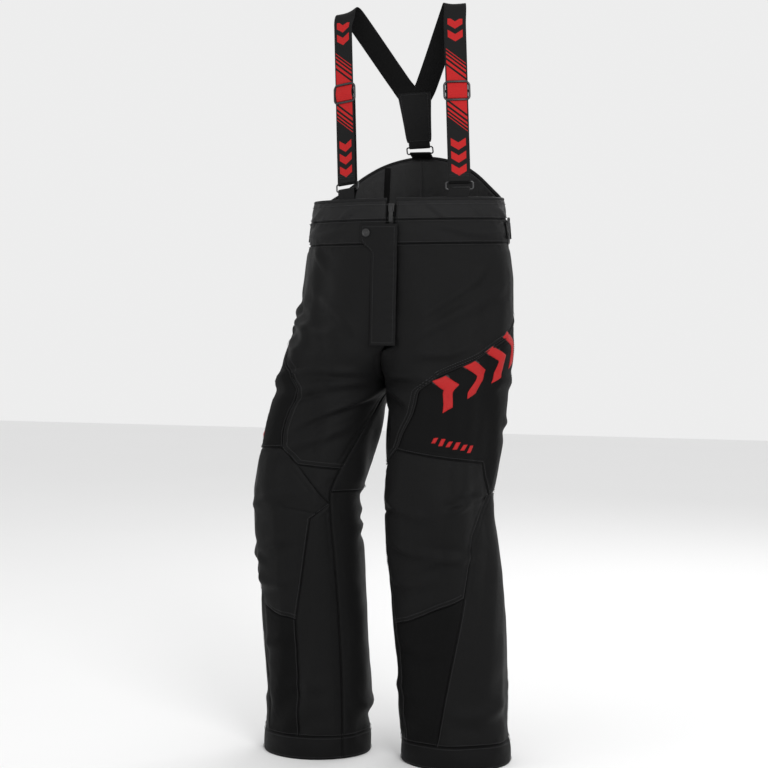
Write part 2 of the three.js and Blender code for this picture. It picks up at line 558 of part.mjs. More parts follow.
// ---- Suspenders ----
const RING_LIFT = 32; // top bar of the front ring above the front top edge
const ADJUSTER_REACH = 166; // from the front ring up to the adjuster
const STRAIGHT = 290; // straight stretch of the front strap
const STRAP_TURN = THREE.MathUtils.degToRad(18); // each front strap faces outward a little
const LAYER_GAP = 5.8; // between the two layers of webbing below the adjuster
const STRAPS = {
  left: { side: LEFT, base: 117, mid: [105, 24, 165], over: [[95, -20, 348], [90, -9, 355], [83, 0, 345]] },
  right: { side: RIGHT, base: 93, mid: [105, 24, 165], over: [[112, -29, 340], [108, -18, 347], [101, -9, 339]] },
};
const BACK_ENDS = { left: [21, 50, 202], right: [-28, 50, 202] };
for (const [word, { side, base, mid, over }] of Object.entries(STRAPS)) {
  const place = frontPlace(side, base, FRONT_TOP);
  const rim = near(side, place, FRONT_TOP, -LINING_DEPTH);
  const foot = new THREE.Vector3(side * base, rim.y, FRONT_TOP + RING_LIFT);
  const up = new THREE.Vector3(side * (mid[0] - base), mid[1], mid[2]).normalize();
  const facing = new THREE.Vector3(Math.cos(STRAP_TURN), side * Math.sin(STRAP_TURN), 0);
  const across = facing.addScaledVector(up, -facing.dot(up)).normalize();
  const back = up.clone().cross(across);
  const stretch = new THREE.Group();
  stretch.applyMatrix4(new THREE.Matrix4().makeBasis(across, back, up).setPosition(foot));
  group.add(stretch);

  const inner = WEB_WIDTH + 2 * CLEARANCE + 1.6;
  const rail = (s) =>
    block(ADJUSTER_RAIL, 8.4, ADJUSTER_HEIGHT, (s * (inner + ADJUSTER_RAIL)) / 2, 0.4, ADJUSTER_REACH);
  const bar = (y, z, height) => block(inner + 2, 2.2, height, 0, y, ADJUSTER_REACH + z);
  const endBar = ADJUSTER_HEIGHT / 2 - 2;
  add(
    `strap_adjuster_${word}`,
    joined([rail(-1), rail(1), bar(-2.7, endBar, 4), bar(-2.7, -endBar, 4), bar(2.7, 0, 5)]),
    METAL,
    stretch,
  );
  const ring = add(`front_ring_${word}`, wireRing(WEB_WIDTH + 6, FRONT_RING_HEIGHT), METAL, stretch);
  ring.position.set(0, LAYER_GAP / 2, 0);
  const turn = [];
  for (let k = 0; k <= 6; k++) {
    const angle = (Math.PI * k) / 6;
    turn.push(
      new THREE.Vector3(0, (LAYER_GAP / 2) * (1 - Math.cos(angle)), (-LAYER_GAP / 2) * Math.sin(angle)),
    );
  }
  turn.push(new THREE.Vector3(0, LAYER_GAP, ADJUSTER_REACH - 8));
  ribbon(`strap_return_${word}`, turn, WEB_WIDTH, WEB_THICKNESS, WEBBING, stretch);

  const ringFoot = new THREE.Vector3(0, LAYER_GAP / 2, -FRONT_RING_HEIGHT + 2 * WIRE - 8);
  const tabTop = ringFoot.applyMatrix4(stretch.matrix);
  const tabMiddle = near(side, place, FRONT_TOP - 4, -SHELL - 4);
  const tabLow = near(side, place, FRONT_TOP - 26, -SHELL - 4);
  const rimward = near(side, place + 0.03, FRONT_TOP, 0).sub(near(side, place - 0.03, FRONT_TOP, 0));
  const tabAcross = rimward.multiplyScalar(side).setZ(0).normalize();
  ribbon(`front_tab_${word}`, [tabLow, tabMiddle, tabTop], TAB_WIDTH, 2.4, WEBBING, group, tabAcross);

  const start = foot.clone().addScaledVector(up, 0.6);
  const points = [start, foot.clone().addScaledVector(up, STRAIGHT)];
  for (const [x, y, z] of over) points.push(new THREE.Vector3(side * x, y, FRONT_TOP + z));
  const [ex, ey, ez] = BACK_ENDS[word];
  points.push(new THREE.Vector3(ex, ey, FRONT_TOP + ez));
  const smooth = new THREE.CatmullRomCurve3(points.slice(1), false, "centripetal").getPoints(14);
  const path = [start, ...smooth];
  const level = new THREE.Vector3(1, 0, 0);
  const widths = path.map((point, i) => across.clone().lerp(level, THREE.MathUtils.clamp((i - 1) / 6, 0, 1)));
  ribbon(`suspender_${word}`, path, WEB_WIDTH, WEB_THICKNESS, WEBBING, group, widths);
}

// ---- Yoke patch that joins the straps, its ring and the tab on the high back ----
const YOKE_TOP = new THREE.Vector3(-3, 54, FRONT_TOP + 187);
const YOKE_FOOT = new THREE.Vector3(0, 71, FRONT_TOP + 113);
const yokeDown = YOKE_FOOT.clone().sub(YOKE_TOP);
const yoke = new THREE.Group();
const yokeUp = yokeDown.clone().negate().normalize();
const yokeAcross = new THREE.Vector3(1, 0, 0).addScaledVector(yokeUp, -yokeUp.x).normalize();
yoke.applyMatrix4(
  new THREE.Matrix4().makeBasis(yokeAcross, yokeUp.clone().cross(yokeAcross), yokeUp).setPosition(YOKE_FOOT),
);
group.add(yoke);
const YOKE_THICKNESS = 4;
const YOKE_FOOT_WIDTH = 50;
const YOKE_TOP_WIDTH = 58;
const yokeLength = yokeDown.length();
const outline = new THREE.Shape();
outline.moveTo(-YOKE_FOOT_WIDTH / 2, 0).lineTo(YOKE_FOOT_WIDTH / 2, 0);
outline.lineTo(YOKE_TOP_WIDTH / 2, yokeLength).lineTo(-YOKE_TOP_WIDTH / 2, yokeLength);
const plate = new THREE.ExtrudeGeometry(outline, { depth: YOKE_THICKNESS, bevelEnabled: false });
add("yoke_patch", plate.rotateX(Math.PI / 2).translate(0, YOKE_THICKNESS / 2, 0), FABRIC, yoke);
const STUB = 7;
add("yoke_loop", block(WEB_WIDTH, 3, STUB - 0.6, 0, 0, -STUB / 2 - 0.3 + CLEARANCE / 2), WEBBING, yoke);
const backRing = add("back_ring", wireRing(WEB_WIDTH + 8, BACK_RING_HEIGHT), METAL, yoke);
backRing.position.set(0, 0, -STUB - WIRE / 2 - CLEARANCE);
const backTabTop = new THREE.Vector3(0, 0, -STUB - BACK_RING_HEIGHT + WIRE - 7).applyMatrix4(yoke.matrix);
const backTabLow = near(LEFT, 1, BACK_TOP - 30, -SHELL - 4);
const backTabEdge = near(LEFT, 1, BACK_TOP - 4, -SHELL - 4);
ribbon("back_tab", [backTabLow, backTabEdge, backTabTop], WEB_WIDTH, 2.2, WEBBING);

// ---- Side waist adjusters: a strap from the back seam, a tall ring, and the tab folded back ----
const SIDE_Z = (BAND_LOW + BAND_TOP) / 2;
for (const [word, side] of SIDES) {
  const lying = (name, from, to, offset, thickness, height, look) => {
    const net = [
      [[from, SIDE_Z - height / 2], [to, SIDE_Z - height / 2]],
      [[from, SIDE_Z + height / 2], [to, SIDE_Z + height / 2]],
    ];
    panel(name, side, net, look, offset + thickness, thickness);
  };
  lying(`side_strap_${word}`, 0.554, 0.66, 1.4, 1.4, SIDE_WEB_WIDTH, WEBBING);
  lying(`side_tab_${word}`, 0.556, 0.64, 5.2, 1.6, SIDE_WEB_WIDTH, WEBBING);
  lying(`side_loop_${word}`, 0.48, 0.512, 1.4, 2.2, SIDE_WEB_WIDTH, WEBBING);
  const hub = near(side, 0.545, SIDE_Z, 6.6);
  const ring = add(`side_ring_${word}`, wireRing(SIDE_WEB_WIDTH + 14, 13).rotateY(Math.PI / 2), METAL);
  ring.rotation.z = Math.PI / 2;
  ring.position.copy(hub);
}

// ---- Raised emblem on the left outer thigh: one stepped bar ----
panel("side_emblem", LEFT, [
  [[0.26, thigh(0.86)], [0.32, thigh(0.8)]],
  [[0.3, rise(0.06)], [0.36, rise(0.02)]],
  [[0.37, rise(0.2)], [0.42, rise(0.14)]],
], RED, EMBLEM_LIFT + EMBLEM_THICKNESS, EMBLEM_THICKNESS);

// The origin is the middle of the footprint, on the surface that the hems stand on.
const extent = new THREE.Box3().setFromObject(group, true);
group.position.set(-(extent.min.x + extent.max.x) / 2, -(extent.min.y + extent.max.y) / 2, -extent.min.z);

export default group;
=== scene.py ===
# %% [markdown]
# # Insulated snow trousers with suspenders
# The trousers are one skin, described by smooth curves through a few body sizes. Every cloth piece is laid on
# that skin by its place round the side (0 centre front or inseam, 1 centre back or inseam) and its height, so
# panels, seams, stitches, piping and badges follow the same folds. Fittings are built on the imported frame.

# %% Frame and libraries
import json
import math
import random
import bmesh
import bpy
import numpy as np
from mathutils import Matrix, Vector
from mathutils.kdtree import KDTree


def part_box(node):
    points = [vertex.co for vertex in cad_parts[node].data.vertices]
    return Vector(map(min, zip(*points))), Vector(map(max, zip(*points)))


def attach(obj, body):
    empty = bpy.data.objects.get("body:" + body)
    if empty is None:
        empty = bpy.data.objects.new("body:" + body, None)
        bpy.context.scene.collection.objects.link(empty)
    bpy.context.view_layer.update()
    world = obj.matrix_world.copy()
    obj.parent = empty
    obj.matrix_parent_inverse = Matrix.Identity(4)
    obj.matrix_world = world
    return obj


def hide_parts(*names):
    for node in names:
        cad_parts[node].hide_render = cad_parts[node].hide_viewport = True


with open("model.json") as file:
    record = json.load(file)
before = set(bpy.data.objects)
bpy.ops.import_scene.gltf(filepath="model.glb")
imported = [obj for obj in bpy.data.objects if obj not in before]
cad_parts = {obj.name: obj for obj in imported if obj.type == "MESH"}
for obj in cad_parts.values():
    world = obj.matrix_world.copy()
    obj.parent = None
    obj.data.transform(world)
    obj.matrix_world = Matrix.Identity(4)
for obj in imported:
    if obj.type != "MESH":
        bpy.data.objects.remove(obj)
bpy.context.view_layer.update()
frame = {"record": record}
JOINTS = {joint["name"]: joint for joint in frame["record"]["behaviour"]["joints"]}
RANDOM = random.Random(7)
MM = 0.001
LEFT, RIGHT = 1, -1
SIDES = (("left", LEFT), ("right", RIGHT))

# %% [markdown]
# ## Sizes
# The same landmarks as the frame's, in millimetres: hem, knee, crotch, waistband and top edges. The skin's own
# middle lies beside the origin, because the origin is the middle of the footprint.

# %% Landmarks
CALF_LENGTH, THIGH_LENGTH, RISE = 494, 196, 264
BAND_HEIGHT, UPPER_HEIGHT, BACK_EXTRA, CUFF_HEIGHT = 43, 36, 85, 43
WAIST_WIDTH, WAIST_DEPTH, THIGH_WIDTH, KNEE_WIDTH = 181, 105, 106, 98
HEM_WIDTH, HEM_DEPTH, LEFT_STANCE, RIGHT_STANCE = 101, 90, 110, 130
WAIST_TILT, SIDE_SEAM, ZIP_SLOT = 0.013, 0.58, 9
KNEE = CALF_LENGTH
CROTCH = KNEE + THIGH_LENGTH
BAND_LOW = CROTCH + RISE
BAND_TOP = BAND_LOW + BAND_HEIGHT
FRONT_TOP = BAND_TOP + UPPER_HEIGHT
BACK_TOP = FRONT_TOP + BACK_EXTRA


def calf(share):
    return CALF_LENGTH * share


def thigh(share):
    return KNEE + THIGH_LENGTH * share


def rise(share):
    return CROTCH + RISE * share


chain_low, chain_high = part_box("zipper_chain")
cuff_low, cuff_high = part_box("hem_cuff_left")
SHIFT = np.array([(chain_low[0] + chain_high[0]) / 2, (cuff_low[1] + cuff_high[1]) / 2, 0]) / MM
print("skin's middle", SHIFT)

# %% [markdown]
# ## The skin
# One oval per height and side. Above the crotch the two ovals meet on the body's middle plane; below it each
# closes on itself as a leg. The wearer stands with the right leg turned out and both knees a little bent.

# %% Skin curves


def through(*pairs):
    """A smooth curve through (height, value) pairs, level at both ends."""
    heights = np.array([p[0] for p in pairs], float)
    values = np.array([p[1] for p in pairs], float)
    slopes = np.zeros(len(pairs))
    slopes[1:-1] = (values[2:] - values[:-2]) / (heights[2:] - heights[:-2])

    def curve(z):
        z = np.clip(z, heights[0], heights[-1])
        i = np.clip(np.searchsorted(heights, z, side="right") - 1, 0, len(pairs) - 2)
        width = heights[i + 1] - heights[i]
        t = (z - heights[i]) / width
        r = 1 - t
        start = values[i] * (1 + 2 * t) * r * r + slopes[i] * width * t * r * r
        return start + values[i + 1] * t * t * (3 - 2 * t) - slopes[i + 1] * width * t * t * r

    return curve


crotch_half = THIGH_WIDTH + 4
plane = through((CROTCH, -32), (rise(0.13), -28), (rise(0.34), -14), (rise(0.57), -4), (rise(0.8), 0))
fore_aft = through(
    (0, 0), (calf(0.3), 0), (calf(0.55), -12), (calf(0.77), -32), (KNEE, -50), (thigh(0.29), -42),
    (thigh(0.59), -26), (thigh(0.88), -12), (CROTCH, -8), (rise(0.2), 0))
half_depth = through(
    (0, HEM_DEPTH), (calf(0.55), HEM_DEPTH + 2), (KNEE, 95), (thigh(0.59), 108), (CROTCH, 121),
    (rise(0.13), 125), (rise(0.34), 126), (rise(0.57), 117), (rise(0.8), WAIST_DEPTH + 7),
    (BAND_LOW, WAIST_DEPTH + 4), (BAND_TOP, WAIST_DEPTH + 2), (FRONT_TOP, WAIST_DEPTH - 2),
    (BACK_TOP, WAIST_DEPTH - 5))
half_width = through(
    (0, HEM_WIDTH), (calf(0.77), HEM_WIDTH), (KNEE, KNEE_WIDTH), (thigh(0.29), KNEE_WIDTH + 4),
    (thigh(0.59), THIGH_WIDTH), (thigh(0.88), THIGH_WIDTH + 1), (CROTCH, crotch_half),
    (rise(0.13), crotch_half + 11), (rise(0.34), crotch_half + 39), (rise(0.57), WAIST_WIDTH - 10),
    (rise(0.8), WAIST_WIDTH + 5), (BAND_LOW, WAIST_WIDTH + 4), (BAND_TOP, WAIST_WIDTH),
    (FRONT_TOP, WAIST_WIDTH - 3), (BACK_TOP, WAIST_WIDTH - 5))
meeting = through(
    (CROTCH, 90), (rise(0.13), 56), (rise(0.34), 25), (rise(0.57), 10), (rise(0.8), 3), (BAND_LOW, 0))
leg_centre = {
    LEFT: through(
        (0, LEFT_STANCE + 15), (calf(0.3), LEFT_STANCE + 7), (calf(0.55), LEFT_STANCE + 3),
        (KNEE, LEFT_STANCE - 1), (thigh(0.59), LEFT_STANCE), (thigh(0.88), LEFT_STANCE + 2),
        (CROTCH, crotch_half)),
    RIGHT: through(
        (0, RIGHT_STANCE + 16), (calf(0.55), RIGHT_STANCE + 19), (KNEE, RIGHT_STANCE + 19),
        (thigh(0.29), RIGHT_STANCE + 10), (thigh(0.59), RIGHT_STANCE), (thigh(0.88), RIGHT_STANCE - 9),
        (CROTCH, crotch_half)),
}
turn_out = {
    LEFT: through((KNEE, -8), (CROTCH, 0)),
    RIGHT: through((KNEE, 45), (thigh(0.55), 27), (CROTCH, 0)),
}


panel_turn = through(
    (calf(0.9), 0), (KNEE, 0.02), (thigh(0.35), 0.06), (thigh(0.8), 0.08), (rise(0.1), 0.075), (rise(0.3), 0))


def smooth_step(x, low, high):
    t = np.clip((x - low) / (high - low), 0, 1)
    return t * t * (3 - 2 * t)


def bare_skin(side, place, z):
    """Points on the trousers' unwrinkled outer face, in millimetres."""
    place, z = np.broadcast_arrays(np.asarray(place, float), np.asarray(z, float))
    upper = z >= CROTCH
    sign = np.where(upper & ((place > 1) | (place < 0)), -side, side)
    g = np.where(upper & (place > 1), 2 - place, place)
    g = np.where(upper & (place < 0), -place, g)
    carried = (sign < 0) & (g < SIDE_SEAM)
    g = g + np.where(carried, panel_turn(z) * np.sin(math.pi * g / SIDE_SEAM), 0)
    legs = np.where(sign > 0, leg_centre[LEFT](z), leg_centre[RIGHT](z))
    turn = np.where(sign > 0, turn_out[LEFT](z), turn_out[RIGHT](z))
    meet = np.radians(np.where(upper, meeting(z), 90))
    centre = np.where(upper, half_width(z) * np.sin(meet), legs)
    turn = np.radians(np.where(upper, 0, turn))
    angle = turn - meet + (math.pi + 2 * meet) * g
    out = np.maximum(0, centre + half_width(z) * np.sin(angle))
    x = plane(z) + sign * out
    y = fore_aft(z) - half_depth(z) * np.cos(angle)
    lift = WAIST_TILT * x * smooth_step(z, CROTCH, BAND_LOW)
    return np.stack([x, y, z + lift], axis=-1)


def normals_of(surface, side, place, z):
    d = 0.003
    along = surface(side, place + d, z) - surface(side, place - d, z)
    up = surface(side, place, z + 1.5) - surface(side, place, z - 1.5)
    n = np.cross(along, up) * side
    return n / np.maximum(np.linalg.norm(n, axis=-1, keepdims=True), 1e-9)


def girth(side, z):
    gap = bare_skin(side, 0.26, z) - bare_skin(side, 0.24, z)
    return float(np.linalg.norm(gap)) * 50


def front_place(side, x, z):
    """The place on the front that lies x millimetres from the centre front, towards that side's outer seam."""
    meet = math.radians(float(meeting(z)))
    centre = float(half_width(z)) * math.sin(meet)
    angle = math.asin((x - side * float(plane(z)) - centre) / float(half_width(z)))
    return (angle + meet) / (math.pi + 2 * meet)


print("girth at knee", girth(LEFT, KNEE), "at waist", 2 * girth(LEFT, BAND_LOW))

# %% [markdown]
# ## Folds
# Padded cloth breaks in long soft ridges where the body bends it: under the fly, across the right thigh, round
# the knees and above the hems. Each is a soft ridge from one (place, height) to another, then its width and size
# in millimetres, with a shallow valley beside it. Fine
# unevenness of the padding is a sum of slow waves. The cloth simulation adds what gravity does to the spare
# length.

# %% Listed folds
FOLD_GIRTH, FOLD_SIZE, FOLD_SWAY = 620.0, 1.6, 5
FOLDS = {
    LEFT: [
        ((0.04, 712), (0.20, 664), 9, 4.0), ((0.05, 722), (0.26, 702), 8, 3.2), ((0.03, 698), (0.13, 622), 8, 3.5),
        ((0.08, 778), (0.44, 892), 12, 2.6), ((0.10, 812), (0.34, 925), 9, 2.0), ((0.12, 752), (0.30, 772), 9, 2.4),
        ((0.10, 492), (0.30, 470), 11, 3.0), ((0.46, 494), (0.33, 478), 7, 3.6), ((0.13, 418), (0.36, 392), 12, 3.4),
        ((0.42, 402), (0.24, 372), 10, 3.2), ((0.12, 342), (0.30, 356), 11, 2.6), ((0.14, 240), (0.30, 210), 13, 2.4),
        ((0.62, 512), (0.88, 500), 9, 3.6), ((0.60, 474), (0.88, 466), 10, 3.6), ((0.66, 436), (0.90, 430), 10, 3.6),
        ((0.08, 1030), (0.19, 1004), 5, 2.4), ((0.26, 1031), (0.34, 1008), 5, 2.2), ((0.13, 984), (0.45, 968), 6, 2.2),
        ((0.40, 1012), (0.56, 990), 6, 2.4), ((0.94, 706), (0.72, 668), 10, 4.0), ((0.92, 676), (0.70, 622), 9, 3.2),
        ((0.62, 900), (0.90, 866), 9, 2.4), ((0.98, 800), (0.74, 760), 10, 3.0), ((0.30, 96), (0.55, 118), 13, 2.6),
        ((0.75, 88), (0.98, 106), 13, 3.4), ((0.05, 150), (0.24, 128), 12, 2.0), ((0.50, 640), (0.66, 612), 10, 2.6),
    ],
    RIGHT: [
        ((0.52, 834), (0.14, 786), 10, 5.0), ((0.50, 800), (0.20, 748), 9, 3.0), ((0.04, 716), (0.24, 676), 8, 4.4),
        ((0.03, 700), (0.16, 618), 8, 4.0), ((0.05, 730), (0.28, 716), 8, 3.0), ((0.07, 790), (0.30, 880), 10, 2.4),
        ((0.02, 640), (0.18, 560), 9, 3.0), ((0.10, 498), (0.30, 476), 11, 3.0), ((0.45, 492), (0.32, 474), 7, 3.6),
        ((0.13, 414), (0.35, 384), 12, 3.4), ((0.41, 396), (0.22, 360), 10, 3.2), ((0.14, 330), (0.32, 346), 11, 2.6),
        ((0.14, 236), (0.30, 204), 13, 2.6), ((0.62, 512), (0.88, 500), 9, 3.6), ((0.60, 472), (0.88, 462), 10, 3.6),
        ((0.06, 1024), (0.20, 1001), 5, 2.6), ((0.28, 1014), (0.50, 992), 6, 2.4), ((0.14, 980), (0.48, 966), 6, 2.2),
        ((0.34, 946), (0.20, 905), 8, 2.2), ((0.62, 900), (0.90, 866), 9, 2.4), ((0.98, 800), (0.74, 756), 10, 3.0),
        ((0.66, 434), (0.90, 428), 10, 3.6), ((0.94, 708), (0.72, 664), 10, 4.0), ((0.92, 672), (0.70, 616), 9, 3.2),
        ((0.30, 92), (0.55, 112), 13, 2.6), ((0.75, 86), (0.98, 102), 13, 3.4), ((0.05, 146), (0.22, 124), 12, 2.0),
    ],
}
WAVES = [
    (RANDOM.uniform(0, math.tau), 60 * 1.32**k, RANDOM.uniform(-0.7, 0.7), RANDOM.uniform(0, 6)) for k in range(9)
]


def fold_height(side, place, z):
    """How far the cloth stands out of the bare skin, in millimetres."""
    flat_x = place * FOLD_GIRTH
    height = np.zeros(np.shape(z))
    for (g0, z0), (g1, z1), width, size in FOLDS[side]:
        ax, az = g0 * FOLD_GIRTH, float(z0)
        dx, dz = g1 * FOLD_GIRTH - ax, z1 - az
        length = math.hypot(dx, dz)
        along = ((flat_x - ax) * dx + (z - az) * dz) / length**2
        across = ((flat_x - ax) * -dz + (z - az) * dx) / length
        across = across + FOLD_SWAY * np.sin(along * 5 + g0 * 40)
        taper = smooth_step(along, -0.15, 0.3) * (1 - smooth_step(along, 0.65, 1.15))
        ridge = np.exp(-(across / (0.9 * width)) ** 2) - 0.6 * np.exp(-((across + 1.9 * width) / (1.1 * width)) ** 2)
        height = height + FOLD_SIZE * size * ridge * taper
    calm = (1 - 0.35 * smooth_step(z, BAND_LOW - 20, BAND_LOW)) * smooth_step(z, 0, 40)
    for turn, wavelength, tilt, phase in WAVES:
        k = math.tau / (wavelength * 0.8)
        a = (flat_x * math.cos(turn) + z * math.sin(turn)) * k + phase
        b = (flat_x * math.sin(turn) - z * math.cos(turn)) * k * 0.6 + tilt * 9 + side
        height = height + 0.0032 * wavelength * np.sin(a + 1.3 * np.sin(b)) * calm
    return height * calm


# %% [markdown]
# ## Cloth simulation
# The whole skin is one sheet a few per cent larger than the body it hangs on, held at the waistband and hems.
# It falls and buckles, and its shift from the bare skin is read back on a grid of places and heights.

# %% Cloth simulation
GRID_PLACES, GRID_HEIGHTS = 81, 141
FRAMES, START_FOLD, KEPT_SHIFT, MOST_IN, MOST_OUT = 22, 0.4, 0.55, -4.5, 3.0
shift_grid = {LEFT: np.zeros((GRID_HEIGHTS, GRID_PLACES)), RIGHT: np.zeros((GRID_HEIGHTS, GRID_PLACES))}


def smoothed(field, rounds):
    for _ in range(rounds):
        wide = np.pad(field, 1, mode="edge")
        field = (wide[:-2, 1:-1] + wide[2:, 1:-1] + wide[1:-1, :-2] + wide[1:-1, 2:]) / 4
    return field


def drape_skin():
    rows, columns = GRID_HEIGHTS, GRID_PLACES
    bm = bmesh.new()
    starts = {}
    for side in (LEFT, RIGHT):
        before = len(bm.verts)
        bmesh.ops.create_grid(bm, x_segments=columns - 1, y_segments=rows - 1, size=0.5)
        bm.verts.ensure_lookup_table()
        mine = bm.verts[before:]
        g = np.array([v.co.x + 0.5 for v in mine])
        z = np.array([(v.co.y + 0.5) * BAND_LOW for v in mine])
        points = bare_skin(side, g, z)
        points = points + normals_of(bare_skin, side, g, z) * (fold_height(side, g, z) * START_FOLD)[:, None]
        for v, p in zip(mine, points):
            v.co = Vector(p * MM)
        starts[side] = (g, z, points)
    bmesh.ops.remove_doubles(bm, verts=bm.verts, dist=0.0012)
    mesh = bpy.data.meshes.new("drape")
    bm.to_mesh(mesh)
    bm.free()
    drape = bpy.data.objects.new("drape", mesh)
    bpy.context.scene.collection.objects.link(drape)
    hold = drape.vertex_groups.new(name="hold")
    for v in mesh.vertices:
        z = v.co.z / MM
        held = max(float(smooth_step(z, BAND_LOW - 40, BAND_LOW - 5)), 1 - float(smooth_step(z, 6, 50)))
        if held > 0.01:
            hold.add([v.index], held, "REPLACE")
    cloth = drape.modifiers.new("cloth", "CLOTH")
    settings = cloth.settings
    settings.quality = 5
    settings.mass = 0.35
    settings.tension_stiffness = settings.compression_stiffness = 12
    settings.shear_stiffness = 6
    settings.bending_stiffness = 1.2
    settings.shrink_min = -0.045
    settings.use_pressure = True
    settings.uniform_pressure_force = 0.5
    settings.vertex_group_mass = "hold"
    cloth.collision_settings.use_self_collision = False
    cloth.collision_settings.use_collision = False
    scene = bpy.context.scene
    for number in range(1, FRAMES + 1):
        scene.frame_set(number)
    done = drape.evaluated_get(bpy.context.evaluated_depsgraph_get())
    result = done.to_mesh()
    moved = np.array([v.co for v in result.vertices]) / MM
    rest = np.array([v.co for v in mesh.vertices]) / MM
    done.to_mesh_clear()
    tree = KDTree(len(rest))
    for i, p in enumerate(rest):
        tree.insert(p, i)
    tree.balance()
    for side, (g, z, points) in starts.items():
        found = np.array([tree.find(p)[1] for p in points])
        delta = moved[found] - rest[found]
        out = (delta * normals_of(bare_skin, side, g, z)).sum(1)
        column = np.round(g * (columns - 1)).astype(int)
        row = np.round(z / BAND_LOW * (rows - 1)).astype(int)
        shift_grid[side][row, column] = out
    bpy.data.objects.remove(drape)
    scene.frame_set(1)
    for side in (LEFT, RIGHT):
        field = shift_grid[side]
        soft = smoothed(field, 3)
        slow = smoothed(field, 90)
        shift_grid[side] = np.clip((soft - slow) * KEPT_SHIFT, MOST_IN, MOST_OUT)
        print("drape", side, "slow", slow.min(), slow.max(), "fine", field.std())


drape_skin()


def draped_height(side, place, z):
    grid = shift_grid[side]
    u = np.clip(place, 0, 1) * (GRID_PLACES - 1)
    v = np.clip(z / BAND_LOW, 0, 1) * (GRID_HEIGHTS - 1)
    i = np.clip(v.astype(int), 0, GRID_HEIGHTS - 2)
    j = np.clip(u.astype(int), 0, GRID_PLACES - 2)
    fv, fu = v - i, u - j
    low = grid[i, j] * (1 - fu) + grid[i, j + 1] * fu
    high = grid[i + 1, j] * (1 - fu) + grid[i + 1, j + 1] * fu
    return low * (1 - fv) + high * fv


def wrinkled_skin(side, place, z):
    """Points on the outer face with its folds. Seams at the middle planes and inseams keep both sides equal."""
    place, z = np.broadcast_arrays(np.asarray(place, float), np.asarray(z, float))
    over = place > 1
    under = place < 0
    upper = z >= CROTCH
    wrapped = np.where(over, np.where(upper, 2 - place, place - 1), place)
    wrapped = np.where(under, np.where(upper, -place, place + 1), wrapped)
    other = upper & (over | under)
    mine = fold_height(side, wrapped, z) + draped_height(side, wrapped, z)
    theirs = fold_height(-side, wrapped, z) + draped_height(-side, wrapped, z)
    height = np.where(other, theirs, mine)
    edge = smooth_step(np.minimum(wrapped, 1 - wrapped), 0, np.where(upper, 0.06, 0.1))
    height = height * edge * (1 - smooth_step(z, BAND_TOP, BAND_TOP + 40) * 0.3)
    normal = normals_of(bare_skin, side, place, z)
    return bare_skin(side, place, z) + normal * height[..., None]


def near(side, place, z, offset):
    """Points at an offset from the folded outer face, in metres in the frame."""
    place, z = np.broadcast_arrays(np.asarray(place, float), np.asarray(z, float))
    point = wrinkled_skin(side, place, z)
    point = point + normals_of(wrinkled_skin, side, place, z) * np.asarray(offset, float)[..., None]
    return (point + SHIFT) * MM


# %% [markdown]
# ## Shader helper
# Node trees are written as sums and products of sockets.

# %% Shader helper


class Socket:
    def __init__(self, tree, socket):
        self.tree = tree
        self.socket = socket

    def maths(self, operation, other=None):
        node = self.tree.nodes.new("ShaderNodeMath")
        node.operation = operation
        for slot, value in zip(node.inputs, (self, other)):
            if isinstance(value, Socket):
                self.tree.links.new(value.socket, slot)
            elif value is not None:
                slot.default_value = value
        return Socket(self.tree, node.outputs[0])

    def __add__(self, other):
        return self.maths("ADD", other)

    def __sub__(self, other):
        return self.maths("SUBTRACT", other)

    def __mul__(self, other):
        return self.maths("MULTIPLY", other)

    def __gt__(self, other):
        return self.maths("GREATER_THAN", other)

    def __lt__(self, other):
        return self.maths("LESS_THAN", other)


class Finish:
    """A material with a principled shader, and one method that adds any node."""

    def __init__(self, name):
        self.material = bpy.data.materials.new(name)
        self.material.use_nodes = True
        self.tree = self.material.node_tree
        self.shader = self.tree.nodes["Principled BSDF"]
        self.where = self.node("ShaderNodeTexCoord").outputs["Object"]
        self.flat = self.node("ShaderNodeUVMap", {"uv_map": "flat"}).outputs["UV"]

    def node(self, kind, settings=None, values=None):
        made = self.tree.nodes.new(kind)
        for key, value in (settings or {}).items():
            setattr(made, key, value)
        for key, value in (values or {}).items():
            if isinstance(value, Socket):
                value = value.socket
            if isinstance(value, bpy.types.NodeSocket):
                self.tree.links.new(value, made.inputs[key])
            else:
                made.inputs[key].default_value = value
        return made

    def noise(self, scale, detail=3.0, roughness=0.5):
        values = {"Vector": self.where, "Scale": scale, "Detail": detail, "Roughness": roughness}
        made = self.node("ShaderNodeTexNoise", None, values)
        return Socket(self.tree, made.outputs["Fac"])

    def axes(self):
        made = self.node("ShaderNodeSeparateXYZ", None, {"Vector": self.flat})
        return [Socket(self.tree, made.outputs[k]) for k in range(3)]

    def mix(self, factor, low, high):
        made = self.node("ShaderNodeMix", {"data_type": "RGBA"})
        for slot, value in ((0, factor), (6, low), (7, high)):
            if isinstance(value, Socket):
                self.tree.links.new(value.socket, made.inputs[slot])
            else:
                made.inputs[slot].default_value = value
        return Socket(self.tree, made.outputs[2])

    def bump(self, height, strength=0.3, distance=0.001):
        made = self.node("ShaderNodeBump", None, {"Height": height, "Strength": strength, "Distance": distance})
        self.tree.links.new(made.outputs["Normal"], self.shader.inputs["Normal"])

    def put(self, **values):
        for key, value in values.items():
            slot = self.shader.inputs[key.replace("_", " ")]
            if isinstance(value, Socket):
                self.tree.links.new(value.socket, slot)
            else:
                slot.default_value = value


def shade(level):
    """A grey, given as it looks on a screen from 0 to 255, as linear colour."""
    x = level / 255
    linear = x / 12.92 if x <= 0.04045 else ((x + 0.055) / 1.055) ** 2.4
    return (linear, linear, linear * 1.03, 1)


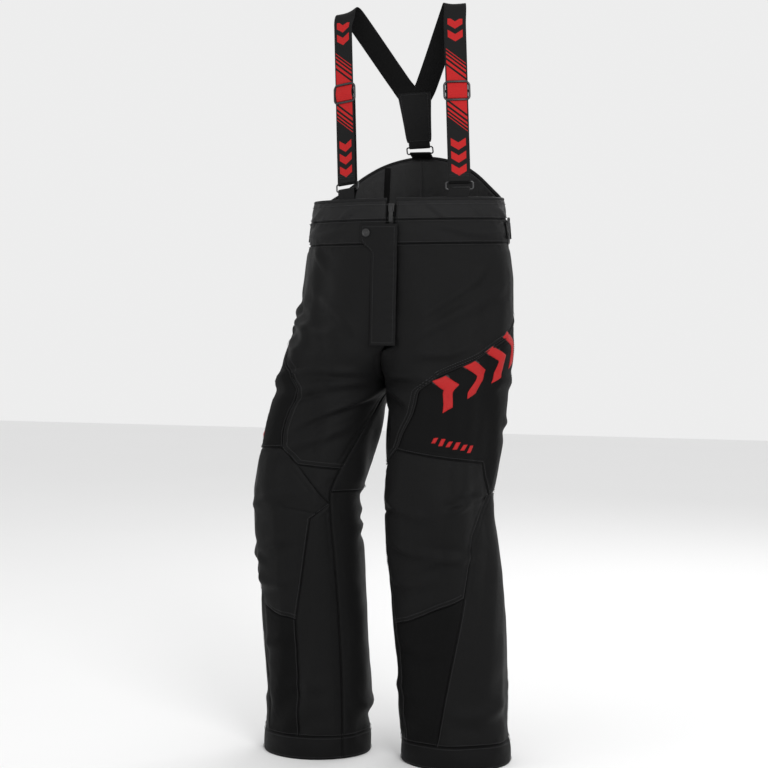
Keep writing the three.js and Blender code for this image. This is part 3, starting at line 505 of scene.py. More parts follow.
# %% [markdown]
# ## Cloth finishes
# A fine plain weave, a coarser ballistic weave for the hip panels and a satin lining. The yarns cross in the
# panel's own flat directions, and slow noise gives the uneven, slightly polished look of worn coated cloth.

# %% Cloth finishes


def woven(name, level, thread=1.1, rough=0.55, relief=0.5, sheen=0.01, crease=0.5, flecks=0.25, shine=0.07):
    f = Finish(name)
    x, y, _ = f.axes()
    turns = math.tau / (thread * MM)
    warp = (x * turns).maths("SINE")
    weft = (y * turns).maths("SINE")
    weave = (warp * weft).maths("MULTIPLY", 0.5) + 0.5
    slow = f.noise(9, 4)
    fine = f.noise(900, 2)
    creases = f.noise(38, 5, 0.6)
    crumple = (f.noise(22, 3, 0.5) - 0.5).maths("ABSOLUTE") * -1.6
    dark, light = shade(level * 0.78), shade(level * 1.22)
    tone = slow * 0.55 + fine * flecks + weave * 0.3
    f.put(Base_Color=f.mix(tone, dark, light))
    f.put(Roughness=(slow - 0.5) * 0.25 + rough)
    f.put(Sheen_Weight=sheen, Sheen_Roughness=0.45, Specular_IOR_Level=shine)
    f.bump(weave * 0.06 + (creases * 0.7 + crumple * 0.6) * crease + fine * 0.04, relief, 0.006)
    return f.material


SHELL = woven("shell_cloth", 13, shine=0.1)
SHELL_LIGHT = woven("upper_cloth", 27, rough=0.5, shine=0.1)
SHELL_BAND = woven("waistband_cloth", 22, rough=0.52)
KNEE_CLOTH = woven("knee_cloth", 13, thread=1.5, rough=0.58, shine=0.1)
CALF_CLOTH = woven("calf_cloth", 12, shine=0.1)
SHIN_CLOTH = woven("shin_cloth", 10, thread=1.5, rough=0.6, shine=0.06)
CUFF_CLOTH = woven("cuff_cloth", 14)
HIP_CLOTH = woven("ballistic_cloth", 11, thread=3.2, rough=0.6, relief=0.8, crease=0.2, flecks=0.5, shine=0.06)
LINING = woven("satin_lining", 27, thread=0.7, rough=0.36, relief=0.4, sheen=0.02, crease=0.9, shine=0.2)
EDGE_TAPE = woven("edge_tape", 26, thread=1.3, rough=0.6)
PIPING = woven("piping_cord", 22, thread=1.3, rough=0.6)
THREAD = woven("black_thread", 58, thread=0.5, rough=0.5)
PATCH = woven("patch_cloth", 25, thread=1.4, rough=0.6)
print("cloth finishes ready")

# %% [markdown]
# ## Webbing finish
# Elastic webbing is ribbed across its width, with a flat selvedge at both edges. The woven pattern is given by
# the distance along the strap: a solid block at the adjuster with slanted bars that thin out from it, and a
# group of plain arrows near each end.

# %% Webbing finish
RED = (0.47, 0.018, 0.018, 1)
RED_DEEP = (0.31, 0.010, 0.011, 1)


def webbing(name, level=18, pattern=None):
    f = Finish(name)
    across, along, _ = f.axes()
    rib = (along * (math.tau / 0.0021)).maths("SINE") * 0.5 + 0.5
    cord = (across * (math.tau / 0.0016)).maths("SINE") * 0.5 + 0.5
    centre = (across - (across > 0.5) - 0.020).maths("ABSOLUTE")
    selvedge = centre > 0.0182
    fine = f.noise(1400, 2)
    slow = f.noise(30, 3)
    tone = rib * 0.45 + cord * 0.2 + fine * 0.2 + slow * 0.2
    base = f.mix(tone, shade(level * 0.7), shade(level * 1.25))
    if pattern is not None:
        mask = (across < 0.5) * pattern(f, across, along) * (centre < 0.0175) * (along < 0.298)
        red = f.mix(tone, RED_DEEP, RED)
        base = f.mix(mask, base, red)
    base = f.mix(across > 0.5, base, shade(level * 0.45))
    f.put(Base_Color=base, Roughness=slow * 0.15 + 0.5, Sheen_Weight=0.01, Specular_IOR_Level=0.09)
    f.bump(rib * 0.6 + cord * 0.3 - selvedge * 0.8 + fine * 0.15, 0.55, 0.0008)
    return f.material


def between(value, low, high):
    return (value > low) * (value < high)


def strap_pattern(block):
    """The red pattern; block is how far along the strap the solid block's middle lies, in metres."""

    def pattern(f, across, along):
        slant = along + across * 0.8 - 0.016
        total = between(slant, block - 0.030, block + 0.032)
        for start, width in ((0.0, 0.0058), (0.0105, 0.0040), (0.0185, 0.0028), (0.0255, 0.0018)):
            total = total.maths("MAXIMUM", between(slant, block + 0.0365 + start, block + 0.0365 + start + width))
            total = total.maths("MAXIMUM", between(slant, block - 0.0345 - start - width, block - 0.0345 - start))
        fold = (across - 0.020).maths("ABSOLUTE")
        for middle in (block - 0.120, block + 0.126):
            for step in (0.0, 0.0235, 0.047):
                arrow = along - fold * 0.62
                mark = between(arrow, middle + step - 0.036, middle + step - 0.0225) * (fold < 0.0135)
                total = total.maths("MAXIMUM", mark)
        return total

    return pattern


PLAIN_WEB = webbing("plain_webbing", 17)
print("webbing ready")

# %% [markdown]
# ## Hard finishes
# Dark plated metal for the adjusters and rings, black enamel for the snap and slider, moulded resin for the zip.

# %% Hard finishes


def metal(name, level, rough=0.34, metallic=0.9, wear=0.5):
    f = Finish(name)
    slow = f.noise(160, 4)
    scratches = f.noise(2600, 3, 0.7)
    f.put(Base_Color=f.mix(slow * wear + scratches * 0.3, shade(level * 0.7), shade(level * 1.35)))
    f.put(Metallic=metallic, Roughness=slow * 0.2 + scratches * 0.12 + (rough - 0.1))
    f.bump(scratches, 0.08, 0.0003)
    return f.material


def resin(name, level, rough=0.45):
    f = Finish(name)
    fine = f.noise(1800, 2)
    slow = f.noise(60, 3)
    f.put(Base_Color=f.mix(slow, shade(level * 0.8), shade(level * 1.25)))
    f.put(Roughness=fine * 0.12 + (rough - 0.05), Specular_IOR_Level=0.5)
    f.bump(fine, 0.12, 0.0003)
    return f.material


GUNMETAL = metal("gunmetal", 62)
ENAMEL = metal("black_enamel", 38, rough=0.38, metallic=0.35, wear=0.3)
STEEL = metal("stud_steel", 120, rough=0.3)
RESIN = resin("black_resin", 17)


def embroidery(name, low, high):
    f = Finish(name)
    x, y, _ = f.axes()
    lines = ((x * 0.8 + y * 0.6) * (math.tau / 0.0014)).maths("SINE") * 0.5 + 0.5
    fine = f.noise(1500, 2)
    f.put(Base_Color=f.mix(lines * 0.4 + fine * 0.5, low, high), Roughness=0.5, Specular_IOR_Level=0.15)
    f.bump(lines * 0.7 + fine * 0.4, 0.45, 0.0008)
    return f.material


RED_FILL = embroidery("red_embroidery", RED_DEEP, (0.42, 0.016, 0.016, 1))
PALE_LINE = embroidery("outline_thread", shade(34), shade(62))
print("finishes", len(bpy.data.materials))

# %% [markdown]
# ## Makers of pieces
# A sheet is a bmesh grid whose vertices are moved onto the skin. It is thickened by solidify, so every cloth
# piece is a closed body with a folded edge. A tube is a grid rolled round a path.


def unit(rows):
    """Each row scaled to length one."""
    return rows / np.maximum(np.linalg.norm(rows, axis=-1, keepdims=True), 1e-9)


def run_along(points):
    """The distance along a line of points, at each of them."""
    return np.concatenate([[0], np.cumsum(np.linalg.norm(np.diff(points, axis=0), axis=1))])


def grid_of(columns, rows):
    """A bmesh grid, with each vertex's share of the way across and up."""
    bm = bmesh.new()
    bmesh.ops.create_grid(bm, x_segments=columns, y_segments=rows, size=0.5)
    bm.verts.index_update()
    return bm, np.array([[v.co.x + 0.5, v.co.y + 0.5] for v in bm.verts])


def close_up(bm, cap=True):
    """Joins a rolled grid's long seam, caps its ends and turns its faces outwards."""
    bmesh.ops.remove_doubles(bm, verts=bm.verts, dist=1e-6)
    if cap:
        bmesh.ops.holes_fill(bm, edges=[e for e in bm.edges if e.is_boundary], sides=0)
    bmesh.ops.recalc_face_normals(bm, faces=bm.faces)


def thicken(piece, thickness):
    solid = piece.modifiers.new("cloth thickness", "SOLIDIFY")
    solid.thickness = thickness * MM
    solid.offset = -1


def finish_piece(name, bm, material, body="root"):
    mesh = bpy.data.meshes.new(name)
    bm.to_mesh(mesh)
    bm.free()
    piece = bpy.data.objects.new(name, mesh)
    bpy.context.scene.collection.objects.link(piece)
    mesh.materials.append(material)
    mesh.shade_smooth()
    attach(piece, body)
    return piece


def near_spot(side, place, z, offset):
    """One point at an offset from the folded outer face, in metres."""
    return near(side, np.array([place]), np.array([float(z)]), offset)[0]


def half_turn(centre, first, over, steps):
    """Points of a half turn: centre + first, through centre + over, to centre - first."""
    angles = [math.pi * k / steps for k in range(steps + 1)]
    return [centre + first * math.cos(a) + over * math.sin(a) for a in angles]


def slot_of(piece, slot, *nodes):
    if nodes:
        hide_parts(*nodes)
    return piece


def move_grid(bm, vertices, points, flat):
    """Moves a grid's vertices to points and writes their flat place, in metres, as a UV map."""
    for v, p in zip(vertices, points):
        v.co = p
    layer = bm.loops.layers.uv.get("flat") or bm.loops.layers.uv.new("flat")
    place = {v.index: f for v, f in zip(vertices, flat)}
    for face in bm.faces:
        for loop in face.loops:
            if loop.vert.index in place:
                loop[layer].uv = place[loop.vert.index]


def edge_distance(s, t, at, last, rows, side):
    """Distance from each flat point to the panel's outline, in millimetres."""
    n = 90
    line = np.linspace(0, 1, n)
    outline = [at(line * last, 0 * line), at(line * last, 0 * line + rows), at(0 * line, line * rows),
               at(0 * line + last, line * rows)]
    g, z = at(s, t)
    scale = girth(side, float(np.mean(z)))
    p = np.stack([g * scale, z], -1)
    best = np.full(len(g), 1e9)
    for gl, zl in outline:
        q = np.stack([gl * scale, zl], -1)
        a, b = q[:-1], q[1:]
        ab = b - a
        w = ((p[:, None] - a[None]) * ab[None]).sum(-1) / np.maximum((ab * ab).sum(-1), 1e-9)[None]
        w = np.clip(w, 0, 1)
        gap = p[:, None] - (a[None] + ab[None] * w[..., None])
        best = np.minimum(best, np.sqrt((gap * gap).sum(-1)).min(1))
    return best


def net_reader(net):
    net = np.array(net, float)
    rows, last = net.shape[0] - 1, net.shape[1] - 1

    def at(s, t):
        s, t = np.asarray(s, float), np.asarray(t, float)
        i = np.clip(t.astype(int), 0, rows - 1)
        j = np.clip(s.astype(int), 0, last - 1)
        a, b = s - j, t - i
        low = net[i, j] * (1 - a)[..., None] + net[i, j + 1] * a[..., None]
        high = net[i + 1, j] * (1 - a)[..., None] + net[i + 1, j + 1] * a[..., None]
        out = low * (1 - b)[..., None] + high * b[..., None]
        return out[..., 0], out[..., 1]

    return net, rows, last, at


def spread(lengths, cell):
    """Even vertex parameters along knots that are lengths apart."""
    total = sum(lengths)
    count = max(2, int(math.ceil(total / cell)))
    knots = np.concatenate([[0], np.cumsum(lengths)]) / total
    return count, lambda share: np.interp(share, knots, np.arange(len(knots)))


def puffed(distance, lift, dip=1.6):
    """The padding's profile: pulled in at the seam and at the second stitch line, full a finger's width inside."""
    quilted = 0.7 * np.exp(-((distance - 9) / 2.2) ** 2)
    return lift * (1 - np.exp(-distance / 13)) - dip * np.exp(-(distance / 2.6) ** 2) - quilted * min(1, lift)


def panel(name, side, net, material, offset=0.0, thickness=2.6, cell=5.0, puff=1.6, dip=1.6, shape=None,
          fill=0.0):
    net, rows, last, at = net_reader(net)
    scale = girth(side, float(net[..., 1].mean()))
    flat = net * [scale, 1]
    up = np.linalg.norm(np.diff(flat, axis=0), axis=-1).max(1)
    across = np.linalg.norm(np.diff(flat, axis=1), axis=-1).max(0)
    count_t, warp_t = spread(list(up), cell)
    count_s, warp_s = spread(list(across), cell)
    bm, share = grid_of(count_s, count_t)
    s, t = warp_s(share[:, 0]), warp_t(share[:, 1])
    g, z = at(s, t)
    distance = edge_distance(s, t, at, last, rows, side)
    lift = puffed(distance, puff, dip)
    along = g * scale + z * 0.9
    pucker = np.sin(along / 3.1 + 1.7 * np.sin(along / 23)) * np.exp(-((distance - 5) / 5.5) ** 2)
    lift = lift + 0.42 * min(1, puff) * pucker
    if shape is not None:
        lift = lift + shape(g, z, distance)
    points = near(side, g, z, offset + lift)
    move_grid(bm, bm.verts, points, np.stack([g * scale, z], -1) * MM)
    if side == RIGHT:
        bmesh.ops.reverse_faces(bm, faces=bm.faces)
    piece = finish_piece(name, bm, material)
    thicken(piece, thickness)
    return piece


def tube(name, path, radius, material, body="root", sides=8, closed=False, flat_to=(0, 0, 1)):
    """A round or oval rod along points; radius is one size or (across, out), and flat_to the out direction."""
    path = np.array(path, float)
    count = len(path)
    if closed:
        ahead = np.roll(path, -1, 0) - np.roll(path, 1, 0)
    else:
        ahead = np.gradient(path, axis=0)
    ahead = unit(ahead)
    out = np.array(flat_to, float)
    if out.ndim == 1:
        out = np.repeat(out[None], count, 0)
    out = unit(out - ahead * (out * ahead).sum(1, keepdims=True))
    across = np.cross(ahead, out)
    ra, ro = (radius, radius) if np.isscalar(radius) else radius
    rows = count if closed else count - 1
    bm, share = grid_of(sides, rows)
    ring = np.round(share[:, 0] * sides) / sides * math.tau
    k = np.round(share[:, 1] * rows).astype(int) % count
    points = path[k] + across[k] * (np.cos(ring) * ra)[:, None] + out[k] * (np.sin(ring) * ro)[:, None]
    move_grid(bm, bm.verts, points, np.stack([ring * ra, run_along(path)[k]], -1))
    close_up(bm, cap=not closed)
    return finish_piece(name, bm, material, body)


def strap(name, points, across, width, thickness, material, body="root", start=0.0, cell=2.5):
    """Webbing along points, in metres: a flat closed band with rounded edges. across is its width direction."""
    points = np.array(points, float)
    run = run_along(points)
    count = max(3, int(run[-1] / (cell * MM)))
    even = np.linspace(0, run[-1], count + 1)
    path = np.stack([np.interp(even, run, points[:, k]) for k in range(3)], -1)
    for _ in range(3):
        path[1:-1] = (path[:-2] + 2 * path[1:-1] + path[2:]) / 4
    ahead = unit(np.gradient(path, axis=0))
    wide = np.array(across, float)
    wide = np.repeat(wide[None], len(path), 0) if wide.ndim == 1 else np.stack(
        [np.interp(even, run, wide[:, k]) for k in range(3)], -1)
    wide = unit(wide - ahead * (wide * ahead).sum(1, keepdims=True))
    face = np.cross(wide, ahead)
    profile = [(-1, 0.0), (-0.985, 0.8), (-0.9, 1), (-0.45, 1.12), (0, 1.16), (0.45, 1.12), (0.9, 1), (0.985, 0.8)]
    profile = profile + [(-a, -b) for a, b in profile]
    sides = len(profile)
    bm, share = grid_of(sides, count)
    j = np.round(share[:, 0] * sides).astype(int)
    k = np.round(share[:, 1] * count).astype(int)
    a = np.array([profile[i % sides][0] for i in j]) * width / 2 * MM
    inner_face = np.where((j > 8) & (j < sides), 1.0, 0.0)
    b = np.array([profile[i % sides][1] for i in j]) * thickness / 2 * MM
    position = path[k] + wide[k] * a[:, None] + face[k] * b[:, None]
    move_grid(bm, bm.verts, position, np.stack([a + width / 2 * MM + inner_face, even[k] + start], -1))
    close_up(bm)
    return finish_piece(name, bm, material, body)


# %% [markdown]
# ## Stitches
# Each stitch is one short rounded bead of thread. A row of them follows an outline at a set distance inside it.

# %% Stitches
STITCH_LENGTH, STITCH_PITCH, STITCH_RADIUS, STITCH_LIFT = 2.6, 3.8, 0.5, 0.3


def outline_points(side, line, inset=0.0, step=1.0):
    """Even points along a line of (place, height) corners, moved inset millimetres to its left."""
    line = np.array(line, float)
    scale = girth(side, float(line[:, 1].mean()))
    flat = line * [scale, 1]
    run = run_along(flat)
    even = np.arange(0, run[-1], step)
    p = np.stack([np.interp(even, run, flat[:, k]) for k in range(2)], -1)
    ahead = unit(np.gradient(p, axis=0))
    p = p + np.stack([-ahead[:, 1], ahead[:, 0]], -1) * inset
    return p[:, 0] / scale, p[:, 1]


def beads(name, starts, ends, ups, body="root"):
    """Beads between starts and ends. They are made a few dozen at a time and then gathered, which is quicker."""
    whole = bmesh.new()
    part = bmesh.new()
    radius = STITCH_RADIUS * MM
    for k, (a, b, up) in enumerate(zip(starts, ends, ups)):
        ahead = Vector(b - a)
        length = ahead.length
        if length > 1e-5:
            up = Vector(up)
            across = ahead.normalized().cross(up).normalized()
            turn = Matrix((across, ahead.normalized(), up)).transposed().to_4x4()
            spot = Matrix.Translation(Vector((a + b) / 2)) @ turn @ Matrix.Diagonal((radius, length / 2, radius, 1))
            bmesh.ops.create_icosphere(part, subdivisions=1, radius=1, matrix=spot)
        if k % 50 == 49 or k == len(starts) - 1:
            scrap = bpy.data.meshes.new("scrap")
            part.to_mesh(scrap)
            whole.from_mesh(scrap)
            bpy.data.meshes.remove(scrap)
            part.free()
            part = bmesh.new()
    part.free()
    return finish_piece(name, whole, THREAD, body)


def stitch_row(side, line, inset, offset):
    """Starts, ends and outward directions of a row of stitches on the skin."""
    g, z = outline_points(side, line, inset, STITCH_PITCH / 2)
    if len(g) < 4:
        return np.zeros((0, 3)), np.zeros((0, 3)), np.zeros((0, 3))
    p = near(side, g, z, offset + STITCH_LIFT)
    up = normals_of(wrinkled_skin, side, g, z)
    a, b = p[0:-1:2], p[1::2]
    count = min(len(a), len(b))
    a, b = a[:count], b[:count]
    middle = (a + b) / 2
    reach = (b - a) * (STITCH_LENGTH / STITCH_PITCH)
    return middle - reach, middle + reach, up[0:-1:2][:count]


def stitches(name, side, rows):
    found = [stitch_row(side, line, inset, offset) for line, inset, offset in rows]
    starts, ends, ups = [np.concatenate([f[k] for f in found]) for k in range(3)]
    return slot_of(beads(name, starts, ends, ups), "shell_fabric")


# %% [markdown]
# ## Shell panels
# Twelve panels a side. Neighbours share an outline exactly: both dip into the seam, and the upper one carries a
# double row of topstitching beside it. Padded panels stand a little fuller between their seams.

# %% Shell panels
FLY_BOTTOM = rise(0.31)


def level_line(z, first, last):
    return [[first, z], [last, z]]


for word, side in SIDES:
    def slot_edge(z, side=side):
        return front_place(side, ZIP_SLOT, z)

    def sewn(name, net, cloth, node, slot="shell_fabric", word=word, side=side, **options):
        slot_of(panel(f"{name}_{word}", side, net, cloth, **options), slot, f"{node}_{word}")

    thigh_inner, thigh_middle = [0, thigh(0.26)], [0.11, thigh(0.31)]
    knee_peak, knee_outer, knee_side = [0.165, thigh(0.464)], [0.445, thigh(0.347)], [0.505, calf(1.02)]
    knee_wing, knee_notch, knee_flank = [0, calf(0.976)], [0.065, calf(0.921)], [0.41, calf(0.87)]
    shin_top = [[0.135, calf(0.53)], [0.2, calf(0.553)], [0.365, calf(0.645)]]
    shin_hem = [[0.136, CUFF_HEIGHT], [0.19, CUFF_HEIGHT], [0.255, CUFF_HEIGHT]]
    hip_front, hip_top = [0.23, rise(0.114)], [0.55, rise(0.5)]
    hip_edge = [knee_peak, [0.205, thigh(0.8)], hip_front, [0.39, rise(0.307)], [0.44, rise(0.367)], hip_top,
                [SIDE_SEAM, rise(0.545)]]
    sewn("front_thigh", [
        [thigh_inner, thigh_middle, knee_peak],
        [[0, thigh(0.7)], [0.1, thigh(0.75)], [0.205, thigh(0.8)]],
        [[0, rise(0.08)], [0.11, rise(0.1)], hip_front],
        [[0, FLY_BOTTOM - 12], [0.2, rise(0.31)], [0.39, rise(0.307)]],
        [[slot_edge(FLY_BOTTOM), FLY_BOTTOM], [0.22, rise(0.37)], [0.44, rise(0.367)]],
        [[slot_edge(rise(0.5)), rise(0.5)], [0.27, rise(0.5)], hip_top],
        [[slot_edge(rise(0.56)), rise(0.56)], [0.29, rise(0.56)], [SIDE_SEAM, rise(0.545)]],
        [[slot_edge(BAND_LOW), BAND_LOW], [0.29, BAND_LOW], [SIDE_SEAM, BAND_LOW]],
    ], SHELL, "front_thigh_panel", fill=0.3)
    sewn("side_hip", [
        [knee_side, [SIDE_SEAM, calf(1.02)]],
        [knee_outer, [SIDE_SEAM, thigh(0.347)]],
        [knee_peak, [SIDE_SEAM, thigh(0.745)]],
        [[0.205, thigh(0.8)], [SIDE_SEAM, thigh(1)]],
        [hip_front, [SIDE_SEAM, rise(0.265)]],
        [[0.39, rise(0.307)], [SIDE_SEAM, rise(0.4)]],
        [[0.44, rise(0.367)], [SIDE_SEAM, rise(0.44)]],
        [hip_top, [SIDE_SEAM, rise(0.545)]],
    ], HIP_CLOTH, "side_hip_panel", "textured_shell", puff=0.8, fill=0.2)
    sewn("seat", [
        [[SIDE_SEAM, calf(1.02)], [1, calf(1.02)]],
        [[SIDE_SEAM, thigh(0.347)], [1, thigh(0.26)]],
        [[SIDE_SEAM, thigh(0.745)], [1, thigh(0.7)]],
        [[SIDE_SEAM, thigh(1)], [1, rise(0.08)]],
        [[SIDE_SEAM, rise(0.265)], [1, rise(0.2)]],
        [[SIDE_SEAM, rise(0.4)], [1, rise(0.31)]],
        [[SIDE_SEAM, rise(0.545)], [1, rise(0.5)]],
        [[SIDE_SEAM, BAND_LOW], [1, BAND_LOW]],
    ], SHELL, "seat_panel", fill=0.3)

    def darts(g, z, distance, side=side):
        """Two short darts and a soft bend line shape the knee."""
        x = g * FOLD_GIRTH
        outer = np.exp(-((z - 494 + (0.44 - g) * 60) / 3.2) ** 2) * smooth_step(g, 0.33, 0.37)
        inner = np.exp(-((z - 470 - (g - 0.1) * 90) / 3.2) ** 2) * (1 - smooth_step(g, 0.13, 0.17))
        bend = np.exp(-((z - 392 - 10 * np.sin(x / 46)) / 7) ** 2) * smooth_step(distance, 6, 26)
        return -2.6 * outer - 2.2 * inner - 1.6 * bend

    sewn("knee", [
        shin_top,
        [knee_notch, [0.22, calf(0.89)], knee_flank],
        [knee_wing, [0.22, calf(1.01)], knee_side],
        [thigh_middle, knee_peak, knee_outer],
    ], KNEE_CLOTH, "knee_panel", puff=2.4, shape=darts, cell=4.0, fill=0.4)
    sewn("knee_gusset", [
        [[0, calf(0.980)], [0.004, calf(0.982)]],
        [thigh_inner, thigh_middle],
    ], SHELL, "inner_knee_gusset", puff=0.8, fill=0.2)
    sewn("shin", [shin_hem, shin_top], SHIN_CLOTH, "shin_panel", fill=0.3)
    sewn("outer_calf", [
        [shin_hem[2], [SIDE_SEAM, CUFF_HEIGHT]],
        [shin_top[2], [SIDE_SEAM, calf(0.694)]],
        [knee_flank, [SIDE_SEAM, calf(0.87)]],
        [knee_side, [SIDE_SEAM, calf(1.02)]],
    ], CALF_CLOTH, "outer_calf_panel", fill=0.3)
    sewn("inner_calf", [
        [[0, CUFF_HEIGHT], shin_hem[0]],
        [[0, calf(0.526)], shin_top[0]],
        [[0, calf(0.911)], knee_notch],
        [[0, calf(0.974)], [0.003, calf(0.975)]],
    ], CALF_CLOTH, "inner_calf_panel", dip=1.0, fill=0.3)
    sewn("back_calf", [
        [[SIDE_SEAM, CUFF_HEIGHT], [1, CUFF_HEIGHT]],
        [[SIDE_SEAM, calf(0.694)], [1, calf(0.694)]],
        [[SIDE_SEAM, calf(1.02)], [1, calf(1.02)]],
    ], CALF_CLOTH, "back_calf_panel", dip=1.0, fill=0.3)
    sewn("waistband", [
        [[slot_edge(BAND_LOW), BAND_LOW], [SIDE_SEAM, BAND_LOW]],
        [[slot_edge(BAND_TOP), BAND_TOP], [SIDE_SEAM, BAND_TOP]],
    ], SHELL_BAND, "waistband_front", puff=1.4, cell=3.5, fill=0.3)
    sewn("upper_front_panel", [
        [[slot_edge(BAND_TOP), BAND_TOP], [SIDE_SEAM, BAND_TOP]],
        [[slot_edge(FRONT_TOP), FRONT_TOP], [SIDE_SEAM, FRONT_TOP]],
    ], SHELL_LIGHT, "upper_front", puff=1.4, cell=3.5, fill=0.3)
    sewn("cuff", [
        [[0, 0.5], [0.5, 0.5], [1, 0.5]],
        [[0, CUFF_HEIGHT], [0.5, CUFF_HEIGHT], [1, CUFF_HEIGHT]],
    ], CUFF_CLOTH, "hem_cuff", puff=0.3, dip=1.2, cell=4.5, fill=0.2)
    stitches(f"topstitching_{word}", side, [
        ([thigh_inner, thigh_middle, knee_peak], 3, 0.9),
        ([thigh_inner, thigh_middle, knee_peak], 9, 1.2),
        (hip_edge, 3.2, 1.0), (hip_edge, 9.5, 1.4),
        ([knee_peak, knee_outer, knee_side], 3.2, 0.8),
        ([[SIDE_SEAM, CUFF_HEIGHT], [SIDE_SEAM, BAND_LOW]], -3.2, 1.0),
        ([[SIDE_SEAM, CUFF_HEIGHT], [SIDE_SEAM, BAND_LOW]], -8.6, 1.3),
        (shin_top, 3.2, 1.2), (shin_top, 9, 1.6),
        ([shin_hem[0], shin_top[0], knee_notch, knee_wing], -3, 0.9),
        ([shin_hem[2], shin_top[2]], -3, 0.9),
        ([shin_top[2], knee_flank, knee_side], 3.4, 1.2),
        (level_line(BAND_LOW, 0, SIDE_SEAM), 3, 0.8), (level_line(BAND_LOW, 0, SIDE_SEAM), -3, 0.8),
        (level_line(BAND_TOP, 0, SIDE_SEAM), 3, 0.8), (level_line(BAND_TOP, 0, SIDE_SEAM), -3, 0.8),
        (level_line(FRONT_TOP, 0.002, SIDE_SEAM), -9, 1.2),
        (level_line(CUFF_HEIGHT, 0, 1), 3, 0.9), (level_line(CUFF_HEIGHT, 0, 1), -4, 0.8),
        ([[0, 5], [1, 5]], 0, 0.9),
        ([[SIDE_SEAM, calf(1.02)], [1, calf(1.02)]], 3, 0.9),
        (level_line(BAND_LOW, SIDE_SEAM, 1), 3, 0.8), (level_line(BAND_LOW, SIDE_SEAM, 1), -3, 0.8),
        (level_line(BAND_TOP, SIDE_SEAM, 1), 3, 0.8),
    ])

# %% [markdown]
# ## Back waistband, high back and edge binding
# The back runs across both sides without a middle seam. The top edge is bound with a folded tape, which rises
# from the side seams over the back.

# %% Back and binding
BACK_SHARES = ((SIDE_SEAM, 0), (0.65, 0.12), (0.72, 0.33), (0.79, 0.6), (0.86, 0.82), (0.93, 0.95), (1, 1))
back_rise = through(*BACK_SHARES)


def top_height(place):
    turned = np.where(np.asarray(place, float) > 1, 2 - np.asarray(place, float), place)
    return FRONT_TOP + BACK_EXTRA * back_rise(np.maximum(turned, SIDE_SEAM))


slot_of(panel("back_waistband", LEFT, [
    [[SIDE_SEAM, BAND_LOW], [1, BAND_LOW], [2 - SIDE_SEAM, BAND_LOW]],
    [[SIDE_SEAM, BAND_TOP], [1, BAND_TOP], [2 - SIDE_SEAM, BAND_TOP]],
], SHELL_BAND, puff=1.4, cell=3.5, fill=0.3), "shell_fabric", "waistband_back")
back_places = np.linspace(SIDE_SEAM, 2 - SIDE_SEAM, 29)
slot_of(panel("high_back", LEFT, [
    [[g, BAND_TOP] for g in back_places],
    [[g, float(top_height(g))] for g in back_places],
], SHELL, cell=4.5, fill=0.3), "shell_fabric", "back_bib_panel")


def binding(name, side, places):
    z = top_height(places)
    low = near(side, places, z, -2.2)
    return slot_of(tube(name, low, (2.6 * MM, 3.4 * MM), EDGE_TAPE, sides=12), "shell_fabric")


for word, side in SIDES:
    first = front_place(side, ZIP_SLOT, FRONT_TOP)
    binding(f"front_binding_{word}", side, np.linspace(first, SIDE_SEAM, 90))
binding("back_binding", LEFT, np.linspace(SIDE_SEAM, 2 - SIDE_SEAM, 150))
print("binding done")

# %% [markdown]
# ## Linings
# A satin layer inside the body, up to the edge binding, and one tube down each leg. Its slack shows as upright
# pleats in the high back.

# %% Linings


def pleats(g, z, distance):
    """A narrow sewn tuck beside the centre back, with two shallow folds that run down from it."""
    tuck = np.exp(-((g - 0.925) / 0.005) ** 2) * smooth_step(z, BAND_TOP - 40, BAND_TOP + 10)
    soft = np.exp(-((g - 0.80 + (z - 1000) * 0.0006) / 0.018) ** 2) + np.exp(-((g - 0.71) / 0.016) ** 2)
    return 0.9 * soft * smooth_step(z, 850, 1000) - 2.6 * tuck


for word, side in SIDES:
    places = np.linspace(0.035, 1.0, 25)
    net = [[[g, rise(0.08)] for g in places], [[g, rise(0.4)] for g in places],
           [[g, BAND_TOP] for g in places], [[g, float(top_height(g)) - 2] for g in places]]
    slot_of(panel(f"body_lining_layer_{word}", side, net, LINING, offset=-6.4, thickness=0.9, puff=-0.6, dip=0,
                  cell=6, shape=pleats), "lining_satin", f"body_lining_{word}")
    slot_of(panel(f"leg_lining_layer_{word}", side, [
        [[0, 20], [0.5, 20], [1, 20]], [[0, thigh(0.9)], [0.5, thigh(0.9)], [1, thigh(0.9)]],
    ], LINING, offset=-9.5, thickness=0.9, puff=0, dip=0, cell=9), "lining_satin", f"leg_lining_{word}")
tape_z = np.linspace(BAND_LOW - 30, BACK_TOP - 17, 40)
tape_places = 0.868 + (tape_z - FRONT_TOP) * 0.0001
tape_path = near(RIGHT, tape_places, tape_z, -9.3)
tape_wide = near(RIGHT, tape_places + 0.01, tape_z, -9.3) - tape_path
slot_of(strap("inside_tape", tape_path, tape_wide, 11, 1.2, woven("inside_tape_cloth", 5, thread=1.3), cell=6),
        "webbing")
print("linings done")

# %% [markdown]
# ## Hip panel piping and badges
# A thin corded piping marks the hip panel's front edge. The left thigh carries a raised badge of plain arrows,
# each a red padded shape in a thin pale outline, and both hip panels carry a short row of slanted bars.

# %% Piping and badges
for word, side in SIDES:
    g, z = outline_points(side, hip_edge, -0.4, 4)
    path = near(side, g, z, 0.7)
    out = normals_of(wrinkled_skin, side, g, z)
    slot_of(tube(f"hip_piping_{word}", path, (1.5 * MM, 1.2 * MM), PIPING, flat_to=out), "shell_fabric")


def raised(name, side, corners, material, offset, thickness):
    """A padded badge shape between two lower and two upper corner rows."""
    return panel(name, side, corners, material, offset=offset, thickness=thickness, cell=2.2, puff=0.7, dip=0.9)


BADGE_START, BADGE_LEAN, BADGE_PITCH = (0.268, 686), math.radians(33), 46
BADGE_GIRTH = girth(LEFT, 720)


